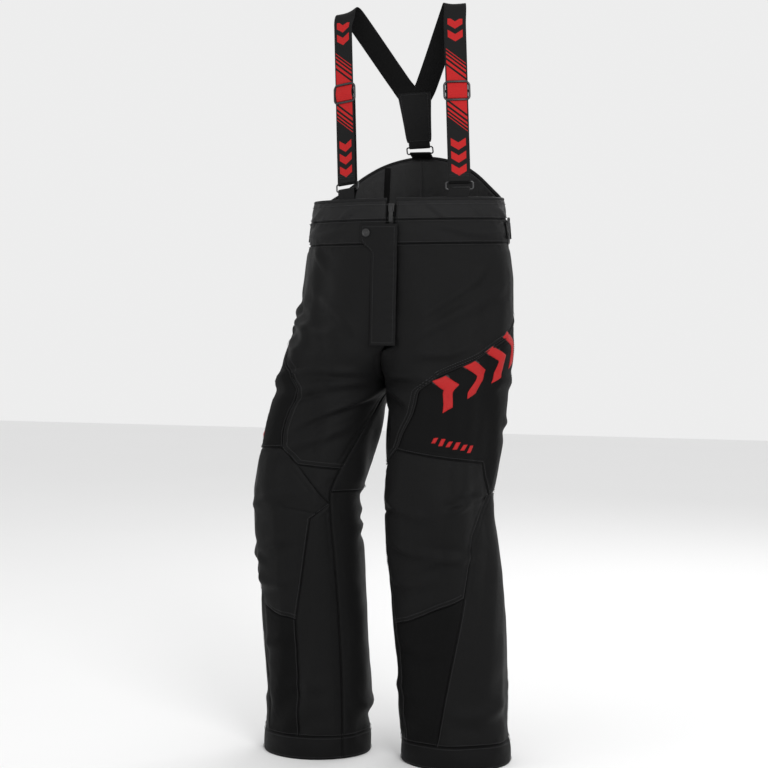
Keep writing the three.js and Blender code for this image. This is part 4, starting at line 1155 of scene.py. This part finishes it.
def badge_spot(along, up):
    """A point of the badge: along its slanted base line and square to it, in millimetres."""
    x = along * math.cos(BADGE_LEAN) - up * math.sin(BADGE_LEAN)
    z = along * math.sin(BADGE_LEAN) + up * math.cos(BADGE_LEAN)
    return [BADGE_START[0] + x / BADGE_GIRTH, BADGE_START[1] + z]


def arrow(k, grow):
    """One arrow of two limbs: rows from its lower end to its tip to its upper end."""
    start = BADGE_PITCH * k
    rows = []
    for up, ahead in ((-34 - grow, -8), (0, 14), (34 + grow, -8)):
        rows.append([badge_spot(start + ahead - grow * 1.3, up), badge_spot(start + ahead + 19 + grow * 1.3, up)])
    return rows


for k in range(4):
    slot_of(raised(f"badge_outline_{k + 1}", LEFT, arrow(k, 1.7), PALE_LINE, 0.9, 1.0), "red_embroidery")
    piece = raised(f"badge_arrow_{k + 1}", LEFT, arrow(k, 0), RED_FILL, 2.2, 1.9)
    slot_of(piece, "red_embroidery", *(["side_emblem"] if k == 0 else []))
for word, side in SIDES:
    for k in range(6):
        g0 = 0.268 + 0.021 * k
        z0 = 605 - 3.2 * k
        tall = 6.5 if k % 2 else 5.0
        corners = [[[g0, z0 - tall], [g0 + 0.012, z0 - tall]], [[g0 + 0.006, z0 + tall], [g0 + 0.018, z0 + tall]]]
        slot_of(raised(f"small_bar_{word}_{k + 1}", side, corners, RED_FILL, 1.7, 1.2), "red_embroidery")
print("badges done")

# %% [markdown]
# ## Zip
# Two rows of moulded teeth on a woven tape, in the straight slot between the fronts. The slider has a body with
# rounded edges, a bridge and a moulded pull that hangs from it.

# %% Zip
(zx0, zy0, zz0), (zx1, zy1, zz1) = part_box("zipper_chain")
zip_up = -Vector(JOINTS["zipper_slide"]["axis"]).normalized()
zip_out = zip_up.cross(Vector((1, 0, 0))).normalized()
if zip_out.y > 0:
    zip_out = -zip_out
zip_foot = Vector(((zx0 + zx1) / 2, zy0, zz0))
zip_length = (zz1 - zz0) / abs(zip_up.z)


def zip_point(x, out, up):
    """A point from the chain's foot: across, towards the wearer's front, and up along the chain, in millimetres."""
    return zip_foot + Vector((x * MM, 0, 0)) + zip_out * out * MM + zip_up * up * MM


def rounded_block(bm, centre, size, radius, turn):
    """A box with rounded edges; turn holds its own axes."""
    matrix = Matrix.Translation(centre) @ turn.to_4x4() @ Matrix.Diagonal((*[s * MM for s in size], 1))
    made = bmesh.ops.create_cube(bm, size=1, matrix=matrix)
    edges = {e for v in made["verts"] for e in v.link_edges}
    bmesh.ops.bevel(bm, geom=list(edges), offset=radius * MM, segments=3, profile=0.5, affect="EDGES", material=-1)


zip_turn = Matrix((Vector((1, 0, 0)), -zip_out, zip_up)).transposed()
bm = bmesh.new()
pitch = 2.5
count = int(zip_length / MM / pitch) - 1
for k in range(count):
    hand = 1 if k % 2 else -1
    spot = zip_point(hand * 1.0, -2.2 + 1.2, pitch * (k + 1))
    rounded_block(bm, spot, (4.2, 2.2, 1.75), 0.45, zip_turn)
slot_of(finish_piece("zip_teeth", bm, RESIN), "black_plastic", "zipper_chain")
tape_path = [zip_point(0, -5.2, 0), zip_point(0, -5.2, zip_length / MM * 0.5), zip_point(0, -5.2, zip_length / MM)]
slot_of(strap("zip_tape_cloth", tape_path, (1, 0, 0), 26, 1.1, PLAIN_WEB), "webbing", "zipper_tape")

slider_low, slider_high = (Vector(c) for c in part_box("zipper_slider"))
slider_mid = (slider_low + slider_high) / 2
bm = bmesh.new()
rounded_block(bm, slider_mid + zip_out * 1.5 * MM, (10.8, 1.6, 14.6), 0.7, zip_turn)
for cheek in (4.2, -4.2):
    cheek_middle = slider_mid + Vector((cheek * MM, 0, 0)) - zip_out * 0.2 * MM
    rounded_block(bm, cheek_middle, (1.9, 3.4, 14.2), 0.5, zip_turn)
slot_of(finish_piece("slider_body", bm, ENAMEL, "zipper_slider"), "black_metal", "zipper_slider")
pull_low, pull_high = (Vector(c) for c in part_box("zipper_pull"))
pull_mid = (pull_low + pull_high) / 2
pull_length = (pull_high.z - pull_low.z) / MM / abs(zip_up.z)
bm = bmesh.new()
rounded_block(bm, pull_mid - zip_up * 3 * MM, (7.4, 1.4, pull_length - 8), 0.65, zip_turn)
rounded_block(bm, pull_mid + zip_up * (pull_length / 2 - 4.5) * MM, (3.6, 1.4, 9), 0.6, zip_turn)
for k in range(6):
    rounded_block(bm, pull_mid - zip_up * (2 + 2.6 * k) * MM + zip_out * 0.45 * MM, (5.4, 0.9, 1.1), 0.3, zip_turn)
slot_of(finish_piece("pull_grip", bm, RESIN, "zipper_pull"), "black_plastic", "zipper_pull")
print("zip", count, "teeth")

# %% [markdown]
# ## Fly placket and snap
# The placket is a padded flap with a stitched border. Its own weight and the stitching pull short level puckers
# along its sewn edge. It rides on the placket body with the snap's cap.

# %% Placket and snap
(px0, py0, pz0), (px1, py1, pz1) = (np.array(c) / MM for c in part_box("fly_placket"))
hinge = JOINTS["placket_open"]
hinge_at = np.array(hinge["pos_m"]) / MM
hinge_dir = np.array(hinge["axis"]) / hinge["axis"][2]


def placket_left(z):
    return px1 - 51 - 22.5 * smooth_step(z, BAND_LOW - 18, BAND_LOW + 10) + 1.0


def line_y(z):
    return hinge_at[1] + hinge_dir[1] * (z - hinge_at[2])


def placket_point(u, v, out):
    z = pz0 + (pz1 - pz0) * v
    x = placket_left(z) + (px1 - placket_left(z)) * u
    local = x - SHIFT[0]
    half = half_width(z)
    bend = half_depth(z) * (1 - np.sqrt(np.maximum(0, 1 - (local / half) ** 2)))
    return np.stack([x, line_y(z) + bend - out, z], -1)


bm, share = grid_of(26, 96)
u, v = share[:, 0], share[:, 1]
z = pz0 + (pz1 - pz0) * v
x = placket_left(z) + (px1 - placket_left(z)) * u
edge = np.minimum.reduce([x - placket_left(z), px1 - x, z - pz0, pz1 - z])
pucker = 0.75 * np.sin(z / 2.9 + 1.5 * np.sin(z / 21)) * np.exp(-((px1 - x - 8) / 9) ** 2)
soft = 0.5 * np.sin(z / 17 + u * 2) + 0.4 * np.sin(z / 9.0 + 4 * u)
lift = 1.5 + 0.7 * (1 - np.exp(-edge / 7)) - 1.0 * np.exp(-(edge / 1.8) ** 2) + pucker + soft * 0.75
lift = np.minimum(lift - 0.6 * np.exp(-((edge - 5.5) / 1.3) ** 2), 2.6)
move_grid(bm, bm.verts, placket_point(u, v, lift) * MM, np.stack([x, z], -1) * MM)
placket = finish_piece("placket_flap", bm, woven("placket_cloth", 19), "placket")
thicken(placket, 2.4)
slot_of(placket, "shell_fabric", "fly_placket")

starts, ends, ups = [], [], []
for run in (
    [(placket_left(z) + 5.5, z) for z in np.arange(pz0 + 6, pz1 - 5, 1.9)],
    [(px1 - 5.5, z) for z in np.arange(pz0 + 6, pz1 - 5, 1.9)],
    [(x, pz0 + 5.5) for x in np.arange(placket_left(pz0) + 6, px1 - 6, 1.9)],
    [(x, pz1 - 5.5) for x in np.arange(placket_left(pz1) + 6, px1 - 6, 1.9)],
):
    run = np.array(run)
    uu = (run[:, 0] - placket_left(run[:, 1])) / (px1 - placket_left(run[:, 1]))
    p = placket_point(uu, (run[:, 1] - pz0) / (pz1 - pz0), np.full(len(run), 2.0)) * MM
    starts.extend(p[0:-1:2][: len(p[1::2])])
    ends.extend(p[1::2])
    ups.extend([np.array([0, -1.0, 0])] * len(p[1::2]))
slot_of(beads("placket_stitches", starts, ends, ups, "placket"), "shell_fabric")


def turned_disc(name, node, profile, material, body, slot_name):
    """A turned piece about the node's own depth axis; profile is (radius, out) in millimetres."""
    low, high = (Vector(c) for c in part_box(node))
    middle = (low + high) / 2
    bm = bmesh.new()
    ring = [bm.verts.new((r * MM, -o * MM, 0)) for r, o in profile]
    lines = [bm.edges.new((a, b)) for a, b in zip(ring, ring[1:])]
    bmesh.ops.spin(bm, geom=ring + lines, cent=(0, 0, 0), axis=(0, 1, 0), angle=math.tau, steps=40, use_merge=True)
    bmesh.ops.remove_doubles(bm, verts=bm.verts, dist=1e-6)
    bmesh.ops.recalc_face_normals(bm, faces=bm.faces)
    bmesh.ops.translate(bm, verts=bm.verts, vec=middle)
    return slot_of(finish_piece(name, bm, material, body), slot_name, node)


turned_disc("snap_cap_face", "snap_cap", [
    (0, 0.9), (2.2, 0.85), (2.7, 0.45), (5.1, 0.5), (5.6, 1.05), (6.6, 1.1), (7.3, 0.6), (7.4, -0.6), (7.0, -1.1),
    (0, -1.1)], ENAMEL, "placket", "black_metal")
turned_disc("snap_stud_face", "snap_stud", [
    (0, 0.7), (2.0, 0.7), (2.2, 0.2), (4.4, 0.1), (4.9, -0.4), (4.9, -0.7), (0, -0.7)], STEEL, "root", "black_metal")
print("placket done")

# %% [markdown]
# ## Suspenders
# Each strap is one length of elastic webbing. It runs straight from the front ring through its adjuster, over
# the shoulder and down to the yoke patch. Below the adjuster it is doubled: the return layer turns round the
# ring's top bar and ends at the adjuster's middle bar.

# %% Suspenders
OVER = {
    "left": ((95, -20, 348), (90, -9, 355), (83, 0, 345)),
    "right": ((112, -29, 340), (108, -18, 347), (101, -9, 339)),
}
BACK_END = {"left": (20, 50, 216), "right": (-27, 50, 216)}
INSIDE_YOKE = {"left": (6, 56, 193), "right": (-10, 56, 193)}
CREASE = {"left": (1, 0.1, 0.0), "right": (0.95, 0.1, 0.32)}
ADJUSTER_REACH, STRAIGHT, LAYER_GAP = 166, 290, 5.8


def rounded_loop(half_x, half_z, radius, steps=6):
    """A closed rounded rectangle, as (x, z) pairs in millimetres."""
    points = []
    for cx, cz, first in ((1, 1, 0), (-1, 1, 90), (-1, -1, 180), (1, -1, 270)):
        for k in range(steps + 1):
            angle = math.radians(first + 90 * k / steps)
            points.append((cx * (half_x - radius) + radius * math.cos(angle),
                           cz * (half_z - radius) + radius * math.sin(angle)))
    return points


def wire_ring(name, node, joint, half_x, height, body):
    """A round-wire rectangle whose top bar lies on the joint's axis."""
    pin = Vector(JOINTS[joint]["pos_m"])
    x_axis = Vector(JOINTS[joint]["axis"]).normalized()
    low, high = (Vector(c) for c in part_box(node))
    drop = (low + high) / 2 - pin
    down_axis = (drop - x_axis * drop.dot(x_axis)).normalized()
    middle = pin + down_axis * (height / 2) * MM
    loop = rounded_loop(half_x, height / 2, 3.2)
    path = [middle + x_axis * x * MM - down_axis * z * MM for x, z in loop]
    out = x_axis.cross(down_axis)
    return slot_of(tube(name, path, 1.35 * MM, GUNMETAL, body, sides=10, closed=True, flat_to=out), "dark_metal", node)


strap_frames = {}
for word, side in SIDES:
    slide = JOINTS[f"adjuster_{word}_slide"]
    up = -Vector(slide["axis"]).normalized()
    hub = Vector(slide["pos_m"])
    foot = hub - up * ADJUSTER_REACH * MM
    across = Vector(JOINTS[f"front_ring_{word}_swing"]["axis"])
    across = (across - up * across.dot(up)).normalized()
    back = up.cross(across)
    strap_frames[word] = (foot, across, back, up)

    def local(x, y, z, foot=foot, across=across, back=back, up=up):
        return foot + across * x * MM + back * y * MM + up * z * MM

    rough = [local(0, 0, 0.6), local(0, 0, STRAIGHT)]
    for x, y, z in OVER[word]:
        rough.append(Vector(((side * x + SHIFT[0]) * MM, (y + SHIFT[1]) * MM, (FRONT_TOP + z) * MM)))
    for ex, ey, ez in (BACK_END[word], INSIDE_YOKE[word]):
        rough.append(Vector(((ex + SHIFT[0]) * MM, (ey + SHIFT[1]) * MM, (FRONT_TOP + ez) * MM)))
    bend = [np.array(p) for p in rough[1:]]
    smooth_path = [np.array(rough[0]), np.array(local(0, 0, STRAIGHT * 0.5))]
    widths = [np.array(across)] * 2
    crease = np.array(CREASE[word], float)
    level = np.array([1.0, 0.12, 0])
    knots = [np.array(across), crease, crease, crease * 0.5 + level * 0.5, level, level]
    for k in range(len(bend) - 1):
        before = bend[k - 1] if k else np.array(local(0, 0, STRAIGHT - 40))
        after = bend[k + 2] if k + 2 < len(bend) else 2 * bend[k + 1] - bend[k]
        a, b = bend[k], bend[k + 1]
        gap = np.linalg.norm(b - a)
        ta = (b - before) / (gap + np.linalg.norm(a - before)) * gap
        tb = (after - a) / (np.linalg.norm(after - b) + gap) * gap
        for t in np.linspace(0, 1, 12, endpoint=False):
            h = (2 * t**3 - 3 * t**2 + 1) * a + (t**3 - 2 * t**2 + t) * ta
            smooth_path.append(h + (-2 * t**3 + 3 * t**2) * b + (t**3 - t**2) * tb)
            widths.append(knots[k] * (1 - t) + knots[k + 1] * t)
    smooth_path.append(bend[-1])
    widths.append(level)
    pattern = strap_pattern(ADJUSTER_REACH * MM)
    front_web = webbing(f"suspender_webbing_{word}", 20, pattern)
    slot_of(strap(f"suspender_strap_{word}", smooth_path, np.array(widths), 40, 1.6, front_web,
                  cell=2.0),
            "webbing", f"suspender_{word}")
    turn = [local(0, LAYER_GAP / 2 * (1 - math.cos(math.pi * k / 12)), -LAYER_GAP / 2 * math.sin(math.pi * k / 12))
            for k in range(13)]
    turn.append(local(0, LAYER_GAP, ADJUSTER_REACH * 0.5))
    turn.append(local(0, LAYER_GAP, ADJUSTER_REACH - 8))
    slot_of(strap(f"return_strap_{word}", turn, across, 40, 1.6, PLAIN_WEB, cell=1.0),
            "webbing", f"strap_return_{word}")
    wire_ring(f"front_ring_wire_{word}", f"front_ring_{word}", f"front_ring_{word}_swing", 24.3, 13.4,
              f"front_ring_{word}")
    turn3 = Matrix((across, back, up)).transposed()
    frame_path = []
    for x, z in rounded_loop(22.6, 16.6, 7.5, 8):
        lean = -2.4 + 2.6 * smooth_step(abs(x), 14, 21)
        frame_path.append(local(x, lean, ADJUSTER_REACH + z))
    ring = tube(f"adjuster_frame_{word}", frame_path, (2.05 * MM, 1.7 * MM), GUNMETAL, f"adjuster_{word}", sides=12,
                closed=True, flat_to=-np.array(back))
    slot_of(ring, "dark_metal", f"strap_adjuster_{word}")
    bm = bmesh.new()
    rounded_block(bm, local(0, 2.7, ADJUSTER_REACH), (45.5, 2.2, 5), 0.95, turn3)
    slot_of(finish_piece(f"adjuster_bar_{word}", bm, GUNMETAL, f"adjuster_{word}"), "dark_metal")
    bump = [local(0, -1.0 - 2.6 * math.sin(math.pi * t) ** 2, ADJUSTER_REACH - 13.5 + 27 * t)
            for t in np.linspace(0, 1, 25)]
    slot_of(strap(f"adjuster_fold_{word}", bump, across, 38.5, 1.6, webbing(f"fold_webbing_{word}", 20, pattern),
                  f"adjuster_{word}", start=(ADJUSTER_REACH - 13.5) * MM, cell=1.0), "webbing")
    starts, ends, ups = [], [], []
    for row in (10, 13.5):
        for k in range(-7, 8):
            starts.append(np.array(local(2.4 * k - 0.8, -0.95, row)))
            ends.append(np.array(local(2.4 * k + 0.8, -0.95, row)))
            ups.append(np.array(-back))
    slot_of(beads(f"strap_bar_tack_{word}", starts, ends, ups), "webbing")
print("suspenders done")

# %% [markdown]
# ## Front tabs
# Each front ring is held by a folded webbing tab, which comes up from between the shell and the lining.

# %% Front tabs
RING_DROP, TURN_OUT, TURN_UP, LAYERS_APART = 13.4, 5.0, 3.4, 1.9
for word, side in SIDES:
    foot, across, back, up = strap_frames[word]
    low, high = (np.array(c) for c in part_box(f"front_tab_{word}"))
    ring_foot = np.array(foot + back * (LAYER_GAP / 2) * MM - up * RING_DROP * MM)
    place = front_place(side, abs((low[0] + high[0]) / 2 / MM - SHIFT[0]), FRONT_TOP)
    deep = near_spot(side, place, FRONT_TOP - 28, -3.6)
    lip = near_spot(side, place, FRONT_TOP + 1, -3.9)
    out = np.array(-back)
    loop = [deep, lip] + half_turn(ring_foot, out * TURN_OUT * MM, np.array(up) * TURN_UP * MM, 12)
    loop += [lip - out * LAYERS_APART * MM, deep - out * LAYERS_APART * MM]
    wide = unit((near_spot(side, place + 0.02, FRONT_TOP, 0) - near_spot(side, place - 0.02, FRONT_TOP, 0)) * side)
    ring_wide = np.array(across)
    half_way = wide * 0.6 + ring_wide * 0.4
    widths = [wide, half_way] + [ring_wide] * 13 + [half_way, wide]
    slot_of(strap(f"ring_tab_{word}", loop, np.array(widths), 36, 1.3, PLAIN_WEB, cell=0.8),
            "webbing", f"front_tab_{word}")
print("front tabs done")

# %% [markdown]
# ## Yoke patch, back ring and back tab
# Two layers of cloth clasp the ends of both straps, with a stitched border. A short webbing loop below holds the
# back ring, and a tab from the high back holds the ring's other bar.

# %% Yoke
BACK_RING_DROP = 12.4
pin = Vector(JOINTS["back_ring_swing"]["pos_m"])
yoke_x = Vector(JOINTS["back_ring_swing"]["axis"]).normalized()
ylow, yhigh = (Vector(c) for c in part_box("yoke_patch"))
yoke_up = ((ylow + yhigh) / 2 - pin)
yoke_up = (yoke_up - yoke_x * yoke_up.dot(yoke_x)).normalized()
yoke_back = yoke_up.cross(yoke_x)
if yoke_back.y < 0:
    yoke_back = -yoke_back
yoke_foot = pin + yoke_up * (7 + 1.3 + 0.6) * MM
yoke_height = (yhigh.z - ylow.z) / MM / yoke_up.z + 15


def yoke_point(x, y, z):
    return yoke_foot + yoke_x * x * MM + yoke_back * y * MM + yoke_up * z * MM


bm = bmesh.new()
bmesh.ops.create_grid(bm, x_segments=30, y_segments=44, size=0.5)
for v in bm.verts:
    u, w = v.co.x, min(max(v.co.y + 0.5, 0), 1)
    round_corner = 1 - 0.10 * math.exp(-w / 0.05) - 0.06 * math.exp(-(1 - w) / 0.04)
    width = (50 + 17 * w**1.4) * round_corner
    edge = min((0.5 - abs(u)) * width, w * yoke_height, (1 - w) * yoke_height)
    swell = 1.8 + 0.7 * (1 - math.exp(-edge / 3)) - 1.3 * math.exp(-((edge / 1.0) ** 2))
    swell -= 0.5 * math.exp(-(((edge - 3.6) / 0.8) ** 2))
    v.co = yoke_point(u * width, swell, w * yoke_height)
bmesh.ops.recalc_face_normals(bm, faces=bm.faces)
uv = bm.loops.layers.uv.new("flat")
for face in bm.faces:
    for loop in face.loops:
        loop[uv].uv = (loop.vert.co.x, loop.vert.co.z)
yoke_piece = finish_piece("yoke_patch_cloth", bm, PATCH)
thicken(yoke_piece, 4.2)
normal = yoke_piece.data.polygons[600].normal
if normal.dot(yoke_back) < 0:
    yoke_piece.data.flip_normals()
slot_of(yoke_piece, "shell_fabric", "yoke_patch")
starts, ends, ups = [], [], []
for face in (1, -1):
    y = 2.15 if face > 0 else -2.35
    loop = [(-21.5, 3.6), (21.5, 3.6), (26.5, yoke_height - 3.6), (-26.5, yoke_height - 3.6), (-21.5, 3.6)]
    for (x0, z0), (x1, z1) in zip(loop, loop[1:]):
        span = math.hypot(x1 - x0, z1 - z0)
        steps = int(span / 3.4)
        for k in range(steps):
            t0, t1 = (k + 0.15) / steps, (k + 0.8) / steps
            starts.append(np.array(yoke_point(x0 + (x1 - x0) * t0, y, z0 + (z1 - z0) * t0)))
            ends.append(np.array(yoke_point(x0 + (x1 - x0) * t1, y, z0 + (z1 - z0) * t1)))
            ups.append(np.array(yoke_back * face))
slot_of(beads("yoke_stitches", starts, ends, ups), "shell_fabric")
loop = [yoke_point(0, 1.6, 2), yoke_point(0, 2.6, -4)]
loop += half_turn(pin, yoke_back * 2.5 * MM, yoke_up * -2.5 * MM, 8)
loop += [yoke_point(0, -2.6, -4), yoke_point(0, -1.6, 2)]
slot_of(strap("yoke_loop_web", loop, yoke_x, 40, 1.3, PLAIN_WEB, cell=0.8), "webbing", "yoke_loop")
wire_ring("back_ring_wire", "back_ring", "back_ring_swing", 25.3, BACK_RING_DROP, "back_ring")
tab_in = near_spot(LEFT, 1.0, BACK_TOP - 34, -3.4)
tab_lip = near_spot(LEFT, 1.0, BACK_TOP + 1, -3.6)
inward = -np.array(yoke_back) * 2.0 * MM
loop = [tab_in, tab_lip]
loop += half_turn(pin - yoke_up * BACK_RING_DROP * MM, yoke_back * 2.7 * MM, yoke_up * 2.7 * MM, 8)
loop += [tab_lip + inward, tab_in + inward]
slot_of(strap("back_tab_web", loop, (1, 0, 0), 40, 1.3, PLAIN_WEB, cell=0.8), "webbing", "back_tab")
print("yoke done")

# %% [markdown]
# ## Side waist adjusters
# A short front loop holds a tall ring on the waistband. A strap from the back seam passes through the ring and
# folds back on itself: the folded part is the tab that peels open.

# %% Side adjusters
BAND_MIDDLE = (BAND_LOW + BAND_TOP) / 2
TAB_START, TAB_LIFT = 0.567, 6.4


def lying_web(name, side, first, last, offset, height, material, body, nodes, bulge=0.0):
    places = np.linspace(first, last, 24)
    path = near(side, places, BAND_MIDDLE, 0)
    out = normals_of(bare_skin, side, places, BAND_MIDDLE)
    lift = offset + bulge * np.sin(np.linspace(0, math.pi, 24))
    path = path + out * lift[:, None] * MM
    up = near(side, places, BAND_MIDDLE + 10, 0) - near(side, places, BAND_MIDDLE - 10, 0)
    return slot_of(strap(name, path, up, height, 1.3, material, body, cell=1.6), "webbing", *nodes)


for word, side in SIDES:
    lying_web(f"waist_strap_{word}", side, 0.548, 0.66, 2.0, 30, PLAIN_WEB, "root", [f"side_strap_{word}"])
    lying_web(f"waist_tab_{word}", side, TAB_START, 0.64, TAB_LIFT, 30, PLAIN_WEB,
              f"side_tab_{word}", [f"side_tab_{word}"])
    lying_web(f"waist_loop_{word}", side, 0.48, 0.519, 2.4, 30, PLAIN_WEB, "root", [f"side_loop_{word}"], 1.2)
    low, high = (Vector(c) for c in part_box(f"side_ring_{word}"))
    middle = (low + high) / 2
    half_y, half_z = (high.y - low.y) / 2 / MM - 1.3, (high.z - low.z) / 2 / MM - 1.3
    path = [middle + Vector((0, y * MM, z * MM)) for y, z in rounded_loop(half_y, half_z, 3.0)]
    slot_of(tube(f"waist_ring_{word}", path, 1.35 * MM, GUNMETAL, "root", sides=10, closed=True, flat_to=(1, 0, 0)),
            "dark_metal", f"side_ring_{word}")
print("side adjusters done")

# %% [markdown]
# ## Floor, light and camera
# A pale floor and even, soft studio light. The camera stands a little to the wearer's left, at chest height.

# %% Floor, light and camera


def plain(name, colour, rough=0.9):
    f = Finish(name)
    slow = f.noise(2.0, 3)
    f.put(Base_Color=f.mix(slow, (*[c * 0.985 for c in colour[:3]], 1), colour), Roughness=rough)
    return f.material


bm = bmesh.new()
bmesh.ops.create_grid(bm, x_segments=1, y_segments=1, size=7)
floor_mesh = bpy.data.meshes.new("floor")
bm.to_mesh(floor_mesh)
bm.free()
floor = bpy.data.objects.new("floor", floor_mesh)
bpy.context.scene.collection.objects.link(floor)
floor_mesh.materials.append(plain("pale_floor", (0.86, 0.86, 0.86, 1)))

world = bpy.data.worlds.new("studio")
bpy.context.scene.world = world
world.use_nodes = True
world.node_tree.nodes["Background"].inputs["Color"].default_value = (1, 1, 1, 1)
world.node_tree.nodes["Background"].inputs["Strength"].default_value = 0.85
bpy.context.scene.view_settings.view_transform = "Standard"


def lamp(name, place, aim, size, power):
    light = bpy.data.lights.new(name, "AREA")
    light.shape = "RECTANGLE"
    light.size, light.size_y = size
    light.energy = power
    stand = bpy.data.objects.new(name, light)
    stand.location = place
    stand.rotation_euler = (Vector(aim) - Vector(place)).to_track_quat("-Z", "Y").to_euler()
    bpy.context.scene.collection.objects.link(stand)


middle = Vector((SHIFT[0] * MM, SHIFT[1] * MM, 0.75))
lamp("key", (1.9, -2.6, 2.3), middle, (1.2, 1.8), 58)
lamp("fill", (-2.4, -2.2, 1.4), middle, (1.4, 2.0), 9)
lamp("rim", (0.6, 2.4, 2.4), middle, (2.0, 1.2), 26)

AZIMUTH, DISTANCE, EYE, LENS = math.radians(17), 3.5, 0.9, 88.6875
TILT, PAN = math.radians(3.3274), math.radians(0.72676)
camera = bpy.data.cameras.new("camera")
camera.sensor_width = 36
camera.lens = LENS
camera_stand = bpy.data.objects.new("camera", camera)
camera_stand.location = (
    SHIFT[0] * MM + math.sin(AZIMUTH) * DISTANCE, SHIFT[1] * MM - math.cos(AZIMUTH) * DISTANCE, EYE)
camera_stand.rotation_euler = (math.radians(90) - TILT, 0, AZIMUTH + PAN)
bpy.context.scene.collection.objects.link(camera_stand)
bpy.context.scene.camera = camera_stand
